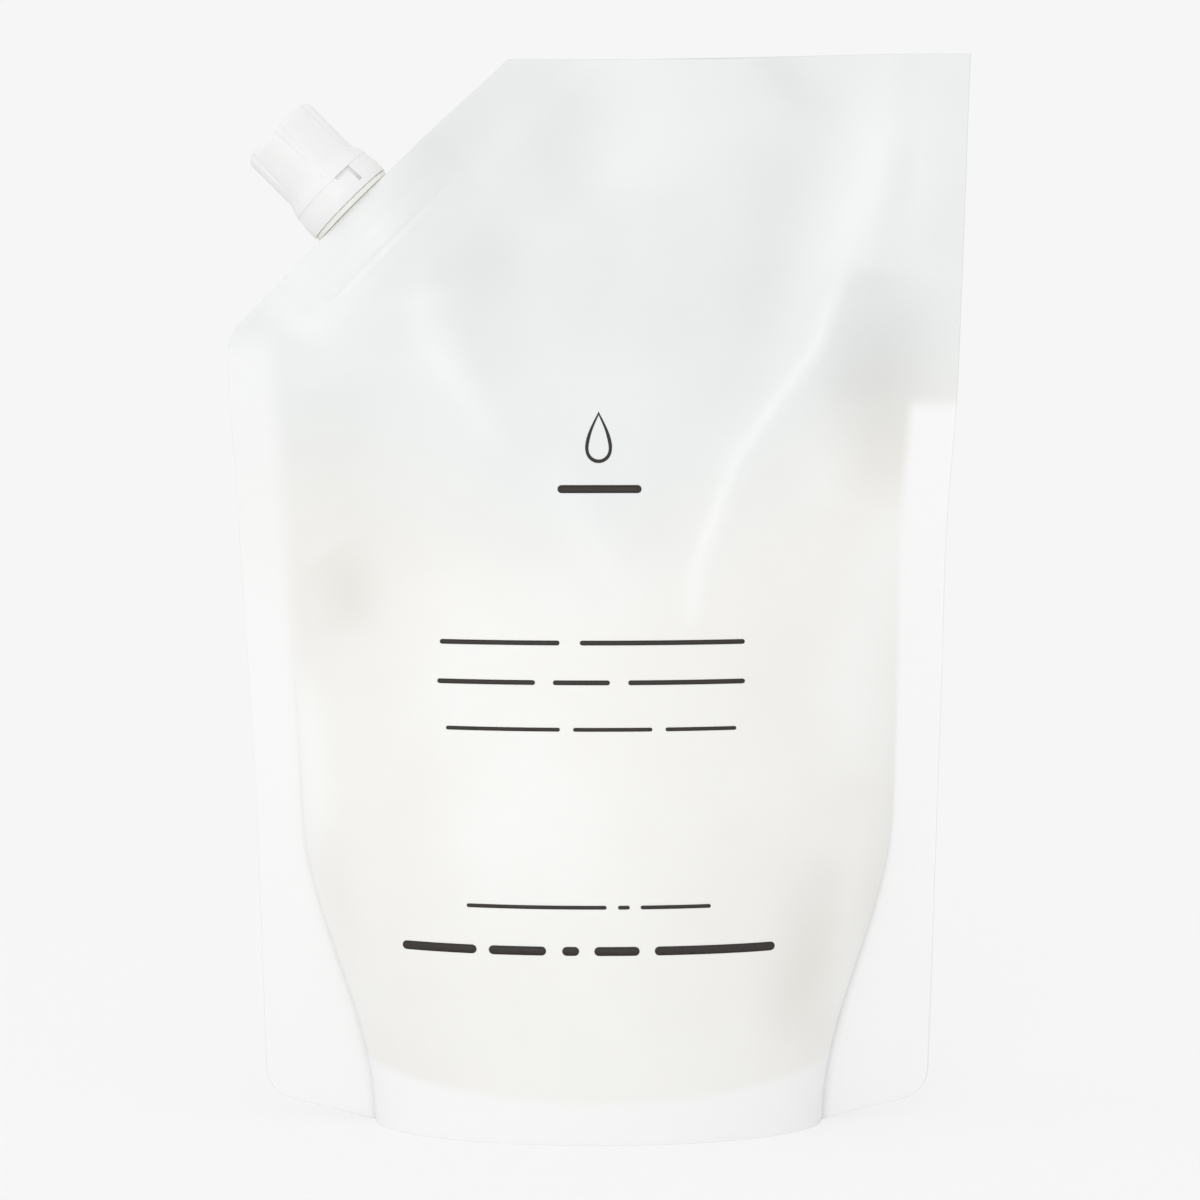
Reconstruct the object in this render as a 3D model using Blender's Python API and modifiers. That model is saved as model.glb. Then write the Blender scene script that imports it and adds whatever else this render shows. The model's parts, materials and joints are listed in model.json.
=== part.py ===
"""Stand-up refill pouch for liquid soap, with a spout welded into its cut corner and a screw cap.

Lengths are in metres. +Z is up, the front panel faces -Y, and the pouch stands on z = 0.
The spout, its tamper band and its cap are turned about one axis, which leaves the cut corner square to
its edge. On that axis a level is a height over the film's cut edge.
"""

import math

import bmesh
import bpy
from mathutils import Matrix, Vector

MM = 0.001

# Film pouch
POUCH_WIDTH = 160 * MM
POUCH_HEIGHT = 232 * MM
CORNER_CUT = 60.5 * MM  # how far the slanted cut takes off the top edge and the side
SEAL_WIDTH = 10 * MM
WELD_THICKNESS = 0.6 * MM  # two films welded together
SIDE_DRAW_IN = 7.2 * MM  # the full belly pulls each side edge in by this at the floor
SHOULDER_ROUND = 3 * MM
FOOT_ROUND = 5 * MM
FOOT_LIFT = 6 * MM  # the lower corners stand clear of the floor

# Filled belly and base
BASE_LENGTH = 98 * MM
BASE_DEPTH = 49 * MM
BELLY_SPREAD = 68 * MM  # height at which the belly has grown out to the side seals
SKIRT_HEIGHT = 9 * MM  # the bottom seal, which stands round the gusset
SKIRT_RISE = 0.6  # share by which the bottom seal grows taller towards the sides
GUSSET_INSET = 7 * MM  # from the skirt to where the gusset lies on the floor
FILM_LEAN = 3 * MM  # the empty film leans back by this at the top right corner

# Shares of the pouch's height, each with a share of the size that it shapes
LEFT_DRAW = ((0, 1), (0.21, 0.84), (0.31, 0.74), (0.5, 0.4), (0.61, 0.2), (0.71, 0), (1, 0))
RIGHT_DRAW = ((0, 1.08), (0.21, 0.92), (0.4, 0.76), (0.57, 0.62), (0.68, 0.36), (0.78, 0.23), (1, 0))
BELLY_FULLNESS = (
    (0, 1),
    (0.04, 1.01),
    (0.16, 1.03),
    (0.28, 0.96),
    (0.43, 0.74),
    (0.53, 0.51),
    (0.62, 0.31),
    (0.72, 0.14),
    (0.86, 0.06),
    (0.95, 0),
    (1, 0),
)
SECTION_POWER = ((0, 0.5), (0.1, 0.52), (0.27, 0.66), (0.5, 1), (0.7, 1.2), (1, 1.2))

# Clearances
SEAT_GAP = 0.3 * MM  # between pieces that are welded or seated
THREAD_GAP = 0.35 * MM  # between the threads, and between the band and the neck
EDGE_BREAK = 0.3 * MM  # small bevel on moulded edges

# Spout
SPOUT_FROM_TOP = 46.8 * MM  # along the slanted edge, from its upper end to the axis
BORE_DIAMETER = 9 * MM
NECK_WALL = 1.7 * MM
BOAT_LENGTH = 39 * MM
BOAT_SIDE = 0.3 * MM  # the weld base stands out by this past the neck
BOAT_TIP = 1 * MM
BOAT_HEIGHT = 10.5 * MM
BOAT_RIBS = 4
RIB_DEPTH = 0.3 * MM
COLLAR_WIDTH = 2.3 * MM
COLLAR_HEIGHT = 0.8 * MM
BEAD_WIDTH = 0.9 * MM
BEAD_FLAT = 0.4 * MM
FILM_WALL = 0.5 * MM  # film over the weld base
FILM_RELEASE = 16 * MM  # inside the weld base, over which the two films close on each other

# Thread, which the cap climbs
THREAD_LEAD = 3 * MM
THREAD_HEIGHT = 0.8 * MM
THREAD_WIDTH = 1.1 * MM
THREAD_ROOT = 0.4 * MM  # how far a thread is rooted in its wall
THREAD_START = 3.7 * MM  # over the cap's foot
NECK_THREAD_TURNS = 2.5
CAP_THREAD_TURNS = 1.6

# Cap and tamper band
BAND_RIM = 1.2 * MM  # level of the band's lower rim
BAND_HEIGHT = 5.2 * MM
BAND_WALL = 0.9 * MM
HOOK_HEIGHT = 0.6 * MM
BEAD_OVER_RIM = 3 * MM
CAP_HEIGHT = 16.5 * MM
CAP_WALL = 1.75 * MM
FLARE_HEIGHT = 3.7 * MM
FLARE_WIDTH = 1.05 * MM  # the cap's foot stands out by this past its grip
BAND_SWELL = 0.35 * MM  # the band stands out by this past the cap's foot
CAP_CROWN = 1.5 * MM
CAP_EDGE_ROUND = 1.6 * MM
PLUG_LENGTH = 3 * MM
PLUG_WALL = 0.9 * MM
FLUTES = 6
FLUTE_RADIUS = 1.2 * MM
FLUTE_DEPTH = 0.75 * MM
FLUTE_ANGLE = math.radians(5)  # of the first flute, from the front towards the pouch's top
SLIT_WIDTH = 1 * MM
SLIT_LENGTH = 3.8 * MM
SLIT_FLOOR = 1.5 * MM  # what the slit leaves of the band
SLIT_ANGLE = math.radians(33)  # from the front of the band towards the pouch's top

# Sizes that follow
NECK_RADIUS = BORE_DIAMETER / 2 + NECK_WALL
BEAD_LEVEL = BAND_RIM + BEAD_OVER_RIM
CAP_FOOT = BAND_RIM + BAND_HEIGHT + SEAT_GAP
CAP_CEILING = CAP_FOOT + CAP_HEIGHT - CAP_CROWN
NECK_TOP = CAP_CEILING - SEAT_GAP
CAP_BORE_RADIUS = NECK_RADIUS + THREAD_HEIGHT + THREAD_GAP
GRIP_RADIUS = CAP_BORE_RADIUS + CAP_WALL
FOOT_RADIUS = GRIP_RADIUS + FLARE_WIDTH
BAND_RADIUS = FOOT_RADIUS + BAND_SWELL
THREAD_LEVEL = CAP_FOOT + THREAD_START

# Mesh fineness
TURN_STEPS = 36
THREAD_STEPS = 20
BOAT_STEPS = 12
FLANGE_COLUMNS = 3
BELLY_COLUMNS = 26
BELLY_ROWS = 38
JOIN = 0.001 * MM

# Creases of the film. Each gives its side, its height and half-width as shares of these two sizes, and
# its points as shares of the pouch's width and height.
CREASE_RIDGE = 2 * MM
CREASE_SPREAD = 8 * MM
CREASES = (
    ("front", 1.2, 1.1, ((0.47, 0.96), (0.41, 0.89), (0.33, 0.8), (0.29, 0.72), (0.19, 0.62), (0.12, 0.47))),
    ("front", -1.1, 1.5, ((0.4, 0.76), (0.37, 0.67), (0.36, 0.6))),
    ("front", 0.75, 1, ((-0.235, 0.79), (-0.22, 0.72), (-0.145, 0.65))),
    ("front", 0.8, 1.8, ((0.09, 0.95), (0.075, 0.8), (0.07, 0.64))),
    ("front", -0.45, 1.3, ((-0.135, 0.92), (-0.14, 0.78), (-0.12, 0.66))),
    ("front", -0.6, 0.9, ((0.3, 0.22), (0.27, 0.12), (0.31, 0.06))),
    ("back", 1.1, 1.1, ((-0.4, 0.7), (-0.26, 0.66), (-0.14, 0.55))),
    ("back", 0.9, 1.1, ((0.4, 0.84), (0.24, 0.74), (0.1, 0.66))),
    ("back", 0.6, 1.7, ((-0.05, 0.94), (-0.07, 0.8), (-0.04, 0.64))),
)


def smooth(share):
    """Eases a share from 0 to 1, and holds it at those ends."""
    share = min(max(share, 0), 1)
    return share * share * (3 - 2 * share)


def along(points, place):
    """Reads a smooth curve through (place, value) points, and holds its ends."""
    if place <= points[0][0]:
        return points[0][1]
    if place >= points[-1][0]:
        return points[-1][1]
    slopes = [(b[1] - a[1]) / (b[0] - a[0]) for a, b in zip(points, points[1:])]
    knots = [slopes[0]] + [(a + b) / 2 if a * b > 0 else 0 for a, b in zip(slopes, slopes[1:])] + [slopes[-1]]
    span = next(i for i in range(len(slopes)) if place <= points[i + 1][0])
    width = points[span + 1][0] - points[span][0]
    t = (place - points[span][0]) / width
    start, end = points[span][1], points[span + 1][1]
    rise = start + (end - start) * smooth(t)
    return rise + width * t * (1 - t) * (knots[span] * (1 - t) - knots[span + 1] * t)


def distance_to_path(x, z, path):
    """Distance from a point to a path of straight runs, and the nearest place's share of the path."""
    point = Vector((x, z))
    nearest = []
    for run, (start, end) in enumerate(zip(path, path[1:])):
        start, end = Vector(start), Vector(end)
        step = end - start
        share = min(max((point - start).dot(step) / step.length_squared, 0), 1)
        nearest.append(((point - start - step * share).length, (run + share) / (len(path) - 1)))
    return min(nearest)


def film_ends(height):
    """Left and right edge of the film at a height, with the slanted cut and the rounded corners."""
    share = height / POUCH_HEIGHT
    left = -POUCH_WIDTH / 2 + SIDE_DRAW_IN * along(LEFT_DRAW, share)
    right = POUCH_WIDTH / 2 - SIDE_DRAW_IN * along(RIGHT_DRAW, share)
    below = max(FOOT_ROUND - height, 0)
    foot = FOOT_ROUND - math.sqrt(FOOT_ROUND**2 - below**2)
    over = height - (POUCH_HEIGHT - CORNER_CUT)
    if over > SHOULDER_ROUND:
        cut = over
    else:
        cut = max(over + SHOULDER_ROUND, 0) ** 2 / (4 * SHOULDER_ROUND)
    return left + foot + cut, right - foot


def belly_ends(height):
    """Where the belly leaves the flat side seals, which draw in to the open oval at the floor."""
    left, right = film_ends(height)
    over = height - (POUCH_HEIGHT - CORNER_CUT)
    slant = 1 + (math.sqrt(2) - 1) * smooth(over / SEAL_WIDTH)
    grown = smooth(height / BELLY_SPREAD)
    half_base = BASE_LENGTH / 2
    seal_left = left + SEAL_WIDTH * slant
    seal_right = right - SEAL_WIDTH
    return -half_base + (seal_left + half_base) * grown, half_base + (seal_right - half_base) * grown


def spout_place():
    """Where the spout's axis crosses the slanted edge, as x and z."""
    down = SPOUT_FROM_TOP / math.sqrt(2)
    return CORNER_CUT - POUCH_WIDTH / 2 - down, POUCH_HEIGHT - down


def boat_half_thickness(along_edge):
    """Half-thickness of the weld base, which is round at the spout and thin at both tips."""
    share = min(abs(along_edge) / (BOAT_LENGTH / 2), 1)
    tip = BOAT_TIP / 2
    return tip + (NECK_RADIUS + BOAT_SIDE - tip) * math.cos(share * math.pi / 2) ** 1.7


def spout_swell(x, z):
    """How far the weld base holds one film away from the other, past its lower end."""
    axis_x, axis_z = spout_place()
    along_edge = ((x - axis_x) + (z - axis_z)) / math.sqrt(2)
    inward = ((x - axis_x) - (z - axis_z)) / math.sqrt(2)
    past = (inward - BOAT_HEIGHT) / FILM_RELEASE
    open_share = smooth(1 + 3 * past) * (1 - smooth(past / 2))
    return (boat_half_thickness(along_edge / (1 + max(past, 0))) - BOAT_TIP / 2) * open_share


def crease(x, z, side):
    total = 0
    for crease_side, ridge, spread, path in CREASES:
        if crease_side != side:
            continue
        points = [(px * POUCH_WIDTH, pz * POUCH_HEIGHT) for px, pz in path]
        away, place = distance_to_path(x, z, points)
        ends = smooth(place * 5) * smooth((1 - place) * 2.5)
        total += CREASE_RIDGE * ridge * ends * math.exp(-((away / (CREASE_SPREAD * spread)) ** 2))
    return total


def film_offset(x, height, side):
    """Distance of one film from the middle plane of the pouch."""
    left, right = belly_ends(height)
    across = (2 * x - left - right) / (right - left)
    inside = max(1 - across * across, 0)
    share = height / POUCH_HEIGHT
    bulge = BASE_DEPTH / 2 * along(BELLY_FULLNESS, share) * inside ** along(SECTION_POWER, share)
    below_seal = smooth((POUCH_HEIGHT - SEAL_WIDTH - height) / SEAL_WIDTH)
    bulge += crease(x, height, side) * smooth(3 * inside) * below_seal
    bulge += spout_swell(x, height) * smooth(9 * inside)
    return WELD_THICKNESS / 2 + max(bulge, 0)


def film_lean(x, height):
    """How far the empty film leans back, which is most at the top right corner."""
    return FILM_LEAN * smooth((height / POUCH_HEIGHT - 0.6) / 0.4) * smooth(2 * x / POUCH_WIDTH)


def foot_height(x, height):
    """Height of a point of the film, with the lower corners lifted off the floor."""
    start = BASE_LENGTH / 2
    reach = (abs(x) - start) / (POUCH_WIDTH / 2 - SIDE_DRAW_IN - start)
    fade = 1 - smooth(height / (4 * SKIRT_HEIGHT))
    return height + FOOT_LIFT * min(max(reach, 0), 1) * fade


def column_places(height):
    """The x places of one section, with one column on each end of the belly."""
    left, right = film_ends(height)
    belly_left, belly_right = belly_ends(height)
    places = [left + (belly_left - left) * i / FLANGE_COLUMNS for i in range(FLANGE_COLUMNS)]
    middle, half = (belly_left + belly_right) / 2, (belly_right - belly_left) / 2
    for i in range(BELLY_COLUMNS + 1):
        even = 2 * i / BELLY_COLUMNS - 1
        bunched = -math.cos(math.pi * i / BELLY_COLUMNS)
        places.append(middle + half * (even + bunched) / 2)
    places += [right + (belly_right - right) * i / FLANGE_COLUMNS for i in reversed(range(FLANGE_COLUMNS))]
    return places


def film_section(height):
    """Front points from left to right, and the back points behind them."""
    front, back = [], []
    for x in column_places(height):
        lean, z = film_lean(x, height), foot_height(x, height)
        front.append(Vector((x, lean - film_offset(x, height, "front"), z)))
        back.append(Vector((x, lean + film_offset(x, height, "back"), z)))
    return front, back


def gusset_line(front, back):
    """Points under the pouch from the front skirt to the back one.

    They run up inside the skirt, then down the gusset to the floor, and the same on the other side.
    """
    x = front.x
    inner = back.y - WELD_THICKNESS
    rise = SKIRT_HEIGHT * (1 + SKIRT_RISE * (2 * x / BASE_LENGTH) ** 2)
    inset = min(GUSSET_INSET, 0.5 * inner)
    half = [Vector((x, inner, 0))]
    for share in (0, 0.06, 0.25, 0.55, 1):
        half.append(Vector((x, inner - inset * share, rise * (1 - math.sqrt(1 - (1 - share) ** 2)))))
    return [front] + [Vector((x, -p.y, p.z)) for p in half] + half[::-1] + [back]


def add_strip(bm, line, other):
    """Faces between two rows of vertices of the same length."""
    for a, b, c, d in zip(line, line[1:], other[1:], other):
        bm.faces.new((a, b, c, d))


def add_loft(bm, rings, capped=True):
    """Faces between closed rings of points of the same length, with flat ends."""
    rows = [[bm.verts.new(point) for point in ring] for ring in rings]
    for row, other in zip(rows, rows[1:]):
        add_strip(bm, row + row[:1], other + other[:1])
    if capped:
        bm.faces.new(rows[0])
        bm.faces.new(rows[-1])
    return rows


def finish_mesh(bm, name):
    """Merges, turns the faces outward and stores the mesh."""
    bmesh.ops.remove_doubles(bm, verts=bm.verts, dist=JOIN)
    bmesh.ops.triangulate(bm, faces=bm.faces)
    bmesh.ops.recalc_face_normals(bm, faces=bm.faces)
    mesh = bpy.data.meshes.new(name)
    bm.to_mesh(mesh)
    bm.free()
    mesh.shade_smooth()
    mesh.set_sharp_from_angle(angle=math.radians(35))
    return mesh


def new_collection(name):
    collection = bpy.data.collections.new(name)
    bpy.context.scene.collection.children.link(collection)
    return collection


def new_object(name, mesh, collection, parent=None):
    obj = bpy.data.objects.new(name, mesh)
    collection.objects.link(obj)
    obj.parent = parent
    return obj


def new_cutter(name, mesh, collection, parent=None):
    cutter = new_object(name, mesh, collection, parent)
    cutter.hide_render = True
    cutter.display_type = "WIRE"
    return cutter


def new_material(name, colour, roughness):
    material = bpy.data.materials.new(name)
    material.use_nodes = True
    shader = material.node_tree.nodes["Principled BSDF"]
    shader.inputs["Base Color"].default_value = (*colour, 1)
    shader.inputs["Roughness"].default_value = roughness
    shader.inputs["Metallic"].default_value = 0
    return material


def add_boolean(obj, name, other, operation, solver="EXACT"):
    modifier = obj.modifiers.new(name, "BOOLEAN")
    modifier.operation = operation
    modifier.solver = solver
    modifier.object = other


def add_turning(obj):
    """Turns a profile about the object's own Z axis."""
    screw = obj.modifiers.new("turned", "SCREW")
    screw.axis = "Z"
    screw.steps = TURN_STEPS
    screw.render_steps = TURN_STEPS
    screw.use_merge_vertices = True
    screw.merge_threshold = 0.1 * MM
    screw.use_smooth_shade = True


def profile_mesh(name, points, closed=False):
    """A line of (radius, level) points, which runs down its outer side."""
    bm = bmesh.new()
    verts = [bm.verts.new((radius, 0, level)) for radius, level in points]
    for a, b in zip(verts, verts[1:]):
        bm.edges.new((a, b))
    if closed:
        bm.edges.new((verts[-1], verts[0]))
    mesh = bpy.data.meshes.new(name)
    bm.to_mesh(mesh)
    bm.free()
    return mesh


def thread_mesh(name, root_radius, crest_radius, first_level, turns):
    """A helical ridge of trapezoid section, rooted in its wall, with a crest that fades in at both ends."""
    steps = round(turns * THREAD_STEPS)
    rooted = root_radius - math.copysign(THREAD_ROOT, crest_radius - root_radius)
    rings = []
    for step in range(steps + 1):
        angle = 2 * math.pi * step / THREAD_STEPS
        level = first_level + THREAD_LEAD * step / THREAD_STEPS
        full = smooth(5 * step / THREAD_STEPS) * smooth(5 * (steps - step) / THREAD_STEPS)
        low = (rooted + root_radius) / 2
        crest = low + (crest_radius - low) * full
        section = (
            (rooted, -THREAD_WIDTH / 2),
            (crest, -THREAD_WIDTH / 4),
            (crest, THREAD_WIDTH / 4),
            (rooted, THREAD_WIDTH / 2),
        )
        rings.append([Vector((r * math.cos(angle), r * math.sin(angle), level + up)) for r, up in section])
    bm = bmesh.new()
    add_loft(bm, rings)
    return finish_mesh(bm, name)


def boat_ring(level, grow, fullness=1):
    """Outline of the weld base at a level, grown on all sides by a size and thinned to a fullness."""
    ring = []
    for side in (-1, 1):
        for i in range(BOAT_STEPS + 1):
            share = side * math.cos(math.pi * i / BOAT_STEPS)
            place = share * BOAT_LENGTH / 2
            thickness = boat_half_thickness(place) * fullness + grow
            ring.append(Vector((place + grow * share, side * thickness, level)))
    return ring


def boat_mesh(name, sections):
    bm = bmesh.new()
    add_loft(bm, [boat_ring(*section) for section in sections])
    return finish_mesh(bm, name)


def make_pouch(collection, cutters, axis):
    """Films, gusset and fill as one closed solid, with a sleeve of film round the weld base."""
    lowest = [0, 0.13 * SKIRT_HEIGHT, 0.33 * SKIRT_HEIGHT, 0.6 * SKIRT_HEIGHT]
    top_seal = POUCH_HEIGHT - SEAL_WIDTH
    row = (top_seal - SKIRT_HEIGHT) / BELLY_ROWS
    heights = lowest + [SKIRT_HEIGHT + row * i for i in range(BELLY_ROWS + 1)] + [POUCH_HEIGHT]
    sections = [film_section(height) for height in heights]
    bm = bmesh.new()
    rows = add_loft(bm, [front + back[::-1] for front, back in sections], capped=False)
    columns = len(sections[0][0])
    top_front, top_back = rows[-1][:columns], rows[-1][columns:][::-1]
    add_strip(bm, top_front, top_back)
    floor_front, floor_back = rows[0][:columns], rows[0][columns:][::-1]
    first, last = FLANGE_COLUMNS, columns - 1 - FLANGE_COLUMNS
    add_strip(bm, floor_front[: first + 1], floor_back[: first + 1])
    add_strip(bm, floor_front[last:], floor_back[last:])
    front_floor, back_floor = sections[0]
    lines = []
    for column in range(first + 1, last):
        lines.append(gusset_line(front_floor[column], back_floor[column]))
    half_line = len(lines[0]) // 2
    for tip in (first, last):
        ends = [front_floor[tip]] * half_line + [back_floor[tip]] * half_line
        lines.insert(0 if tip == first else len(lines), ends)
    gusset = [[bm.verts.new(point) for point in line] for line in lines]
    for line, other in zip(gusset, gusset[1:]):
        add_strip(bm, line, other)
    pouch = new_object("pouch", finish_mesh(bm, "pouch"), collection)
    over_boat = SEAT_GAP + FILM_WALL
    sleeve_end = -BOAT_HEIGHT - over_boat
    sleeve = boat_mesh(
        "weld_sleeve",
        (
            (sleeve_end - 0.5 * FILM_RELEASE, 0, 0.35),
            (sleeve_end - 0.2 * FILM_RELEASE, over_boat / 2, 0.75),
            (sleeve_end, over_boat),
            (-SEAT_GAP, over_boat),
        ),
    )
    pocket = boat_mesh("weld_pocket", ((-BOAT_HEIGHT - SEAT_GAP, SEAT_GAP), (SEAL_WIDTH, SEAT_GAP)))
    sleeve_part = new_cutter("weld_sleeve", sleeve, cutters, axis)
    pocket_part = new_cutter("weld_pocket", pocket, cutters, axis)
    add_boolean(pouch, "film over weld base", sleeve_part, "UNION", solver="MANIFOLD")
    add_boolean(pouch, "room for weld base", pocket_part, "DIFFERENCE", solver="MANIFOLD")
    pouch.data.materials.append(new_material("frosted laminate film", (0.86, 0.87, 0.85), 0.42))


def make_spout(collection, cutters, axis):
    """Ribbed weld base with collar, bead, threaded neck and outlet bore."""
    levels = []
    pitch = BOAT_HEIGHT / (BOAT_RIBS + 0.5)
    for rib in range(BOAT_RIBS):
        for share, grow in ((0, 0), (0.5, 0), (0.6, -RIB_DEPTH), (0.9, -RIB_DEPTH)):
            levels.append((-BOAT_HEIGHT + (rib + share) * pitch, grow))
    levels += [(-0.5 * pitch, 0), (0, 0)]
    spout = new_object("spout", boat_mesh("spout", levels), collection, axis)
    neck, bead, collar = NECK_RADIUS, NECK_RADIUS + BEAD_WIDTH, NECK_RADIUS + COLLAR_WIDTH
    collar_top = SEAT_GAP + COLLAR_HEIGHT
    stem = NECK_RADIUS - SEAT_GAP
    neck_profile = (
        (0, NECK_TOP),
        (neck - EDGE_BREAK, NECK_TOP),
        (neck, NECK_TOP - EDGE_BREAK),
        (neck, BEAD_LEVEL + BEAD_FLAT / 2 + BEAD_WIDTH),
        (bead, BEAD_LEVEL + BEAD_FLAT / 2),
        (bead, BEAD_LEVEL - BEAD_FLAT / 2),
        (neck, BEAD_LEVEL - BEAD_FLAT),
        (neck, collar_top),
        (collar, collar_top),
        (collar, SEAT_GAP),
        (stem, SEAT_GAP),
        (stem, -BOAT_HEIGHT / 2),
        (0, -BOAT_HEIGHT / 2),
    )
    neck_part = new_cutter("neck_solid", profile_mesh("neck_solid", neck_profile), cutters, axis)
    add_turning(neck_part)
    ridge = thread_mesh("neck_thread", neck, neck + THREAD_HEIGHT, THREAD_LEVEL, NECK_THREAD_TURNS)
    past_end = COLLAR_HEIGHT
    bore_profile = (
        (0, NECK_TOP + past_end),
        (BORE_DIAMETER / 2, NECK_TOP + past_end),
        (BORE_DIAMETER / 2, -BOAT_HEIGHT - past_end),
        (0, -BOAT_HEIGHT - past_end),
    )
    bore = new_cutter("outlet_bore", profile_mesh("outlet_bore", bore_profile), cutters, axis)
    add_turning(bore)
    add_boolean(spout, "neck", neck_part, "UNION", solver="MANIFOLD")
    thread = new_cutter("neck_thread", ridge, cutters, axis)
    add_boolean(spout, "thread", thread, "UNION", solver="MANIFOLD")
    add_boolean(spout, "outlet", bore, "DIFFERENCE", solver="MANIFOLD")
    spout.data.materials.append(new_material("natural polyethylene", (0.85, 0.85, 0.83), 0.4))


def make_tamper_band(collection, cutters, axis):
    """Flared ring with a hook under the neck's bead, and the L-shaped slit."""
    top = BAND_RIM + BAND_HEIGHT
    inner = FOOT_RADIUS - BAND_WALL
    hook = NECK_RADIUS + THREAD_GAP
    hook_top = BEAD_LEVEL - BEAD_FLAT - SEAT_GAP
    profile = (
        (FOOT_RADIUS, top),
        (BAND_RADIUS, BAND_RIM + BAND_HEIGHT / 3),
        (BAND_RADIUS, BAND_RIM + EDGE_BREAK),
        (BAND_RADIUS - EDGE_BREAK, BAND_RIM),
        (inner, BAND_RIM),
        (hook, hook_top - HOOK_HEIGHT),
        (hook, hook_top),
        (inner, hook_top),
        (inner, top),
    )
    band = new_object("tamper_band", profile_mesh("tamper_band", profile, closed=True), collection, axis)
    add_turning(band)
    bm = bmesh.new()
    over_top = SEAT_GAP
    leg_turn = SLIT_ANGLE - SLIT_LENGTH / 2 / FOOT_RADIUS
    for width, depth, turn in (
        (SLIT_WIDTH, BAND_HEIGHT - SLIT_FLOOR, SLIT_ANGLE),
        (SLIT_LENGTH, SLIT_WIDTH - SEAT_GAP, leg_turn),
    ):
        middle = Matrix.Translation((0, -BAND_RADIUS, top + (over_top - depth) / 2))
        size = Matrix.Diagonal((width, 3 * BAND_WALL, depth + over_top, 1))
        bmesh.ops.create_cube(bm, matrix=Matrix.Rotation(turn, 4, "Z") @ middle @ size)
    slit = new_cutter("slit", finish_mesh(bm, "slit"), cutters, axis)
    add_boolean(band, "L-shaped slit", slit, "DIFFERENCE")
    band.modifiers["L-shaped slit"].use_self = True
    band.data.materials.append(new_material("white polyethylene band", (0.88, 0.88, 0.87), 0.38))


def cap_profile():
    """Crown, grip and flared foot outside, then thread bore, ceiling and plug inside."""
    crown = CAP_FOOT + CAP_HEIGHT
    grip_foot = CAP_FOOT + FLARE_HEIGHT
    plug = BORE_DIAMETER / 2 - THREAD_GAP
    profile = [(0, crown)]
    for i in range(5):
        angle = math.pi / 2 * i / 4
        out = GRIP_RADIUS - CAP_EDGE_ROUND * (1 - math.sin(angle))
        profile.append((out, crown - CAP_EDGE_ROUND * (1 - math.cos(angle))))
    for i in range(5):
        profile.append((GRIP_RADIUS + FLARE_WIDTH * smooth(i / 4), grip_foot - FLARE_HEIGHT * i / 4))
    return profile + [
        (FOOT_RADIUS - BAND_WALL, CAP_FOOT),
        (CAP_BORE_RADIUS, grip_foot),
        (CAP_BORE_RADIUS, CAP_CEILING),
        (plug, CAP_CEILING),
        (plug, CAP_CEILING - PLUG_LENGTH),
        (plug - PLUG_WALL, CAP_CEILING - PLUG_LENGTH),
        (plug - PLUG_WALL, CAP_CEILING),
        (0, CAP_CEILING),
    ]


def flutes_mesh():
    """Round cutters about the grip, which lean outward so that each flute fades out above the flare."""
    length = CAP_HEIGHT - FLARE_HEIGHT
    out = GRIP_RADIUS + FLUTE_RADIUS - FLUTE_DEPTH
    bm = bmesh.new()
    for i in range(FLUTES):
        turn = Matrix.Rotation(FLUTE_ANGLE + 2 * math.pi * i / FLUTES, 4, "Z")
        lean = Matrix.Rotation(-FLUTE_DEPTH / length, 4, "X")
        bmesh.ops.create_cone(
            bm,
            cap_ends=True,
            segments=12,
            radius1=FLUTE_RADIUS,
            radius2=FLUTE_RADIUS,
            depth=2 * length,
            matrix=turn @ Matrix.Translation((0, -out, CAP_FOOT + CAP_HEIGHT)) @ lean,
        )
    return finish_mesh(bm, "flutes")


def make_cap(collection, cutters, axis):
    """Fluted cap with a flared foot, an inside thread and a plug for the bore."""
    cap = new_object("cap", profile_mesh("cap", cap_profile()), collection, axis)
    add_turning(cap)
    crest = CAP_BORE_RADIUS - THREAD_HEIGHT
    between = THREAD_LEVEL + THREAD_LEAD / 2
    ridge = thread_mesh("cap_thread", CAP_BORE_RADIUS, crest, between, CAP_THREAD_TURNS)
    add_boolean(cap, "flutes", new_cutter("flutes", flutes_mesh(), cutters, axis), "DIFFERENCE")
    add_boolean(cap, "thread", new_cutter("cap_thread", ridge, cutters, axis), "UNION")
    cap.data.materials.append(new_material("white polypropylene cap", (0.9, 0.9, 0.89), 0.35))


def clear_scene():
    for obj in list(bpy.data.objects):
        bpy.data.objects.remove(obj, do_unlink=True)


def main():
    clear_scene()
    parts = new_collection("soap refill pack")
    cutters = new_collection("cutters")
    axis = bpy.data.objects.new("spout_axis", None)
    parts.objects.link(axis)
    axis_x, axis_z = spout_place()
    axis.location = (axis_x, 0, axis_z)
    axis.rotation_euler = (0, -math.pi / 4, 0)
    make_pouch(parts, cutters, axis)
    make_spout(parts, cutters, axis)
    make_tamper_band(parts, cutters, axis)
    make_cap(parts, cutters, axis)


main()
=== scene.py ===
import json
import math

import bmesh
import bpy
import numpy as np
from mathutils import Matrix, Vector
from mathutils.bvhtree import BVHTree

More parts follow.
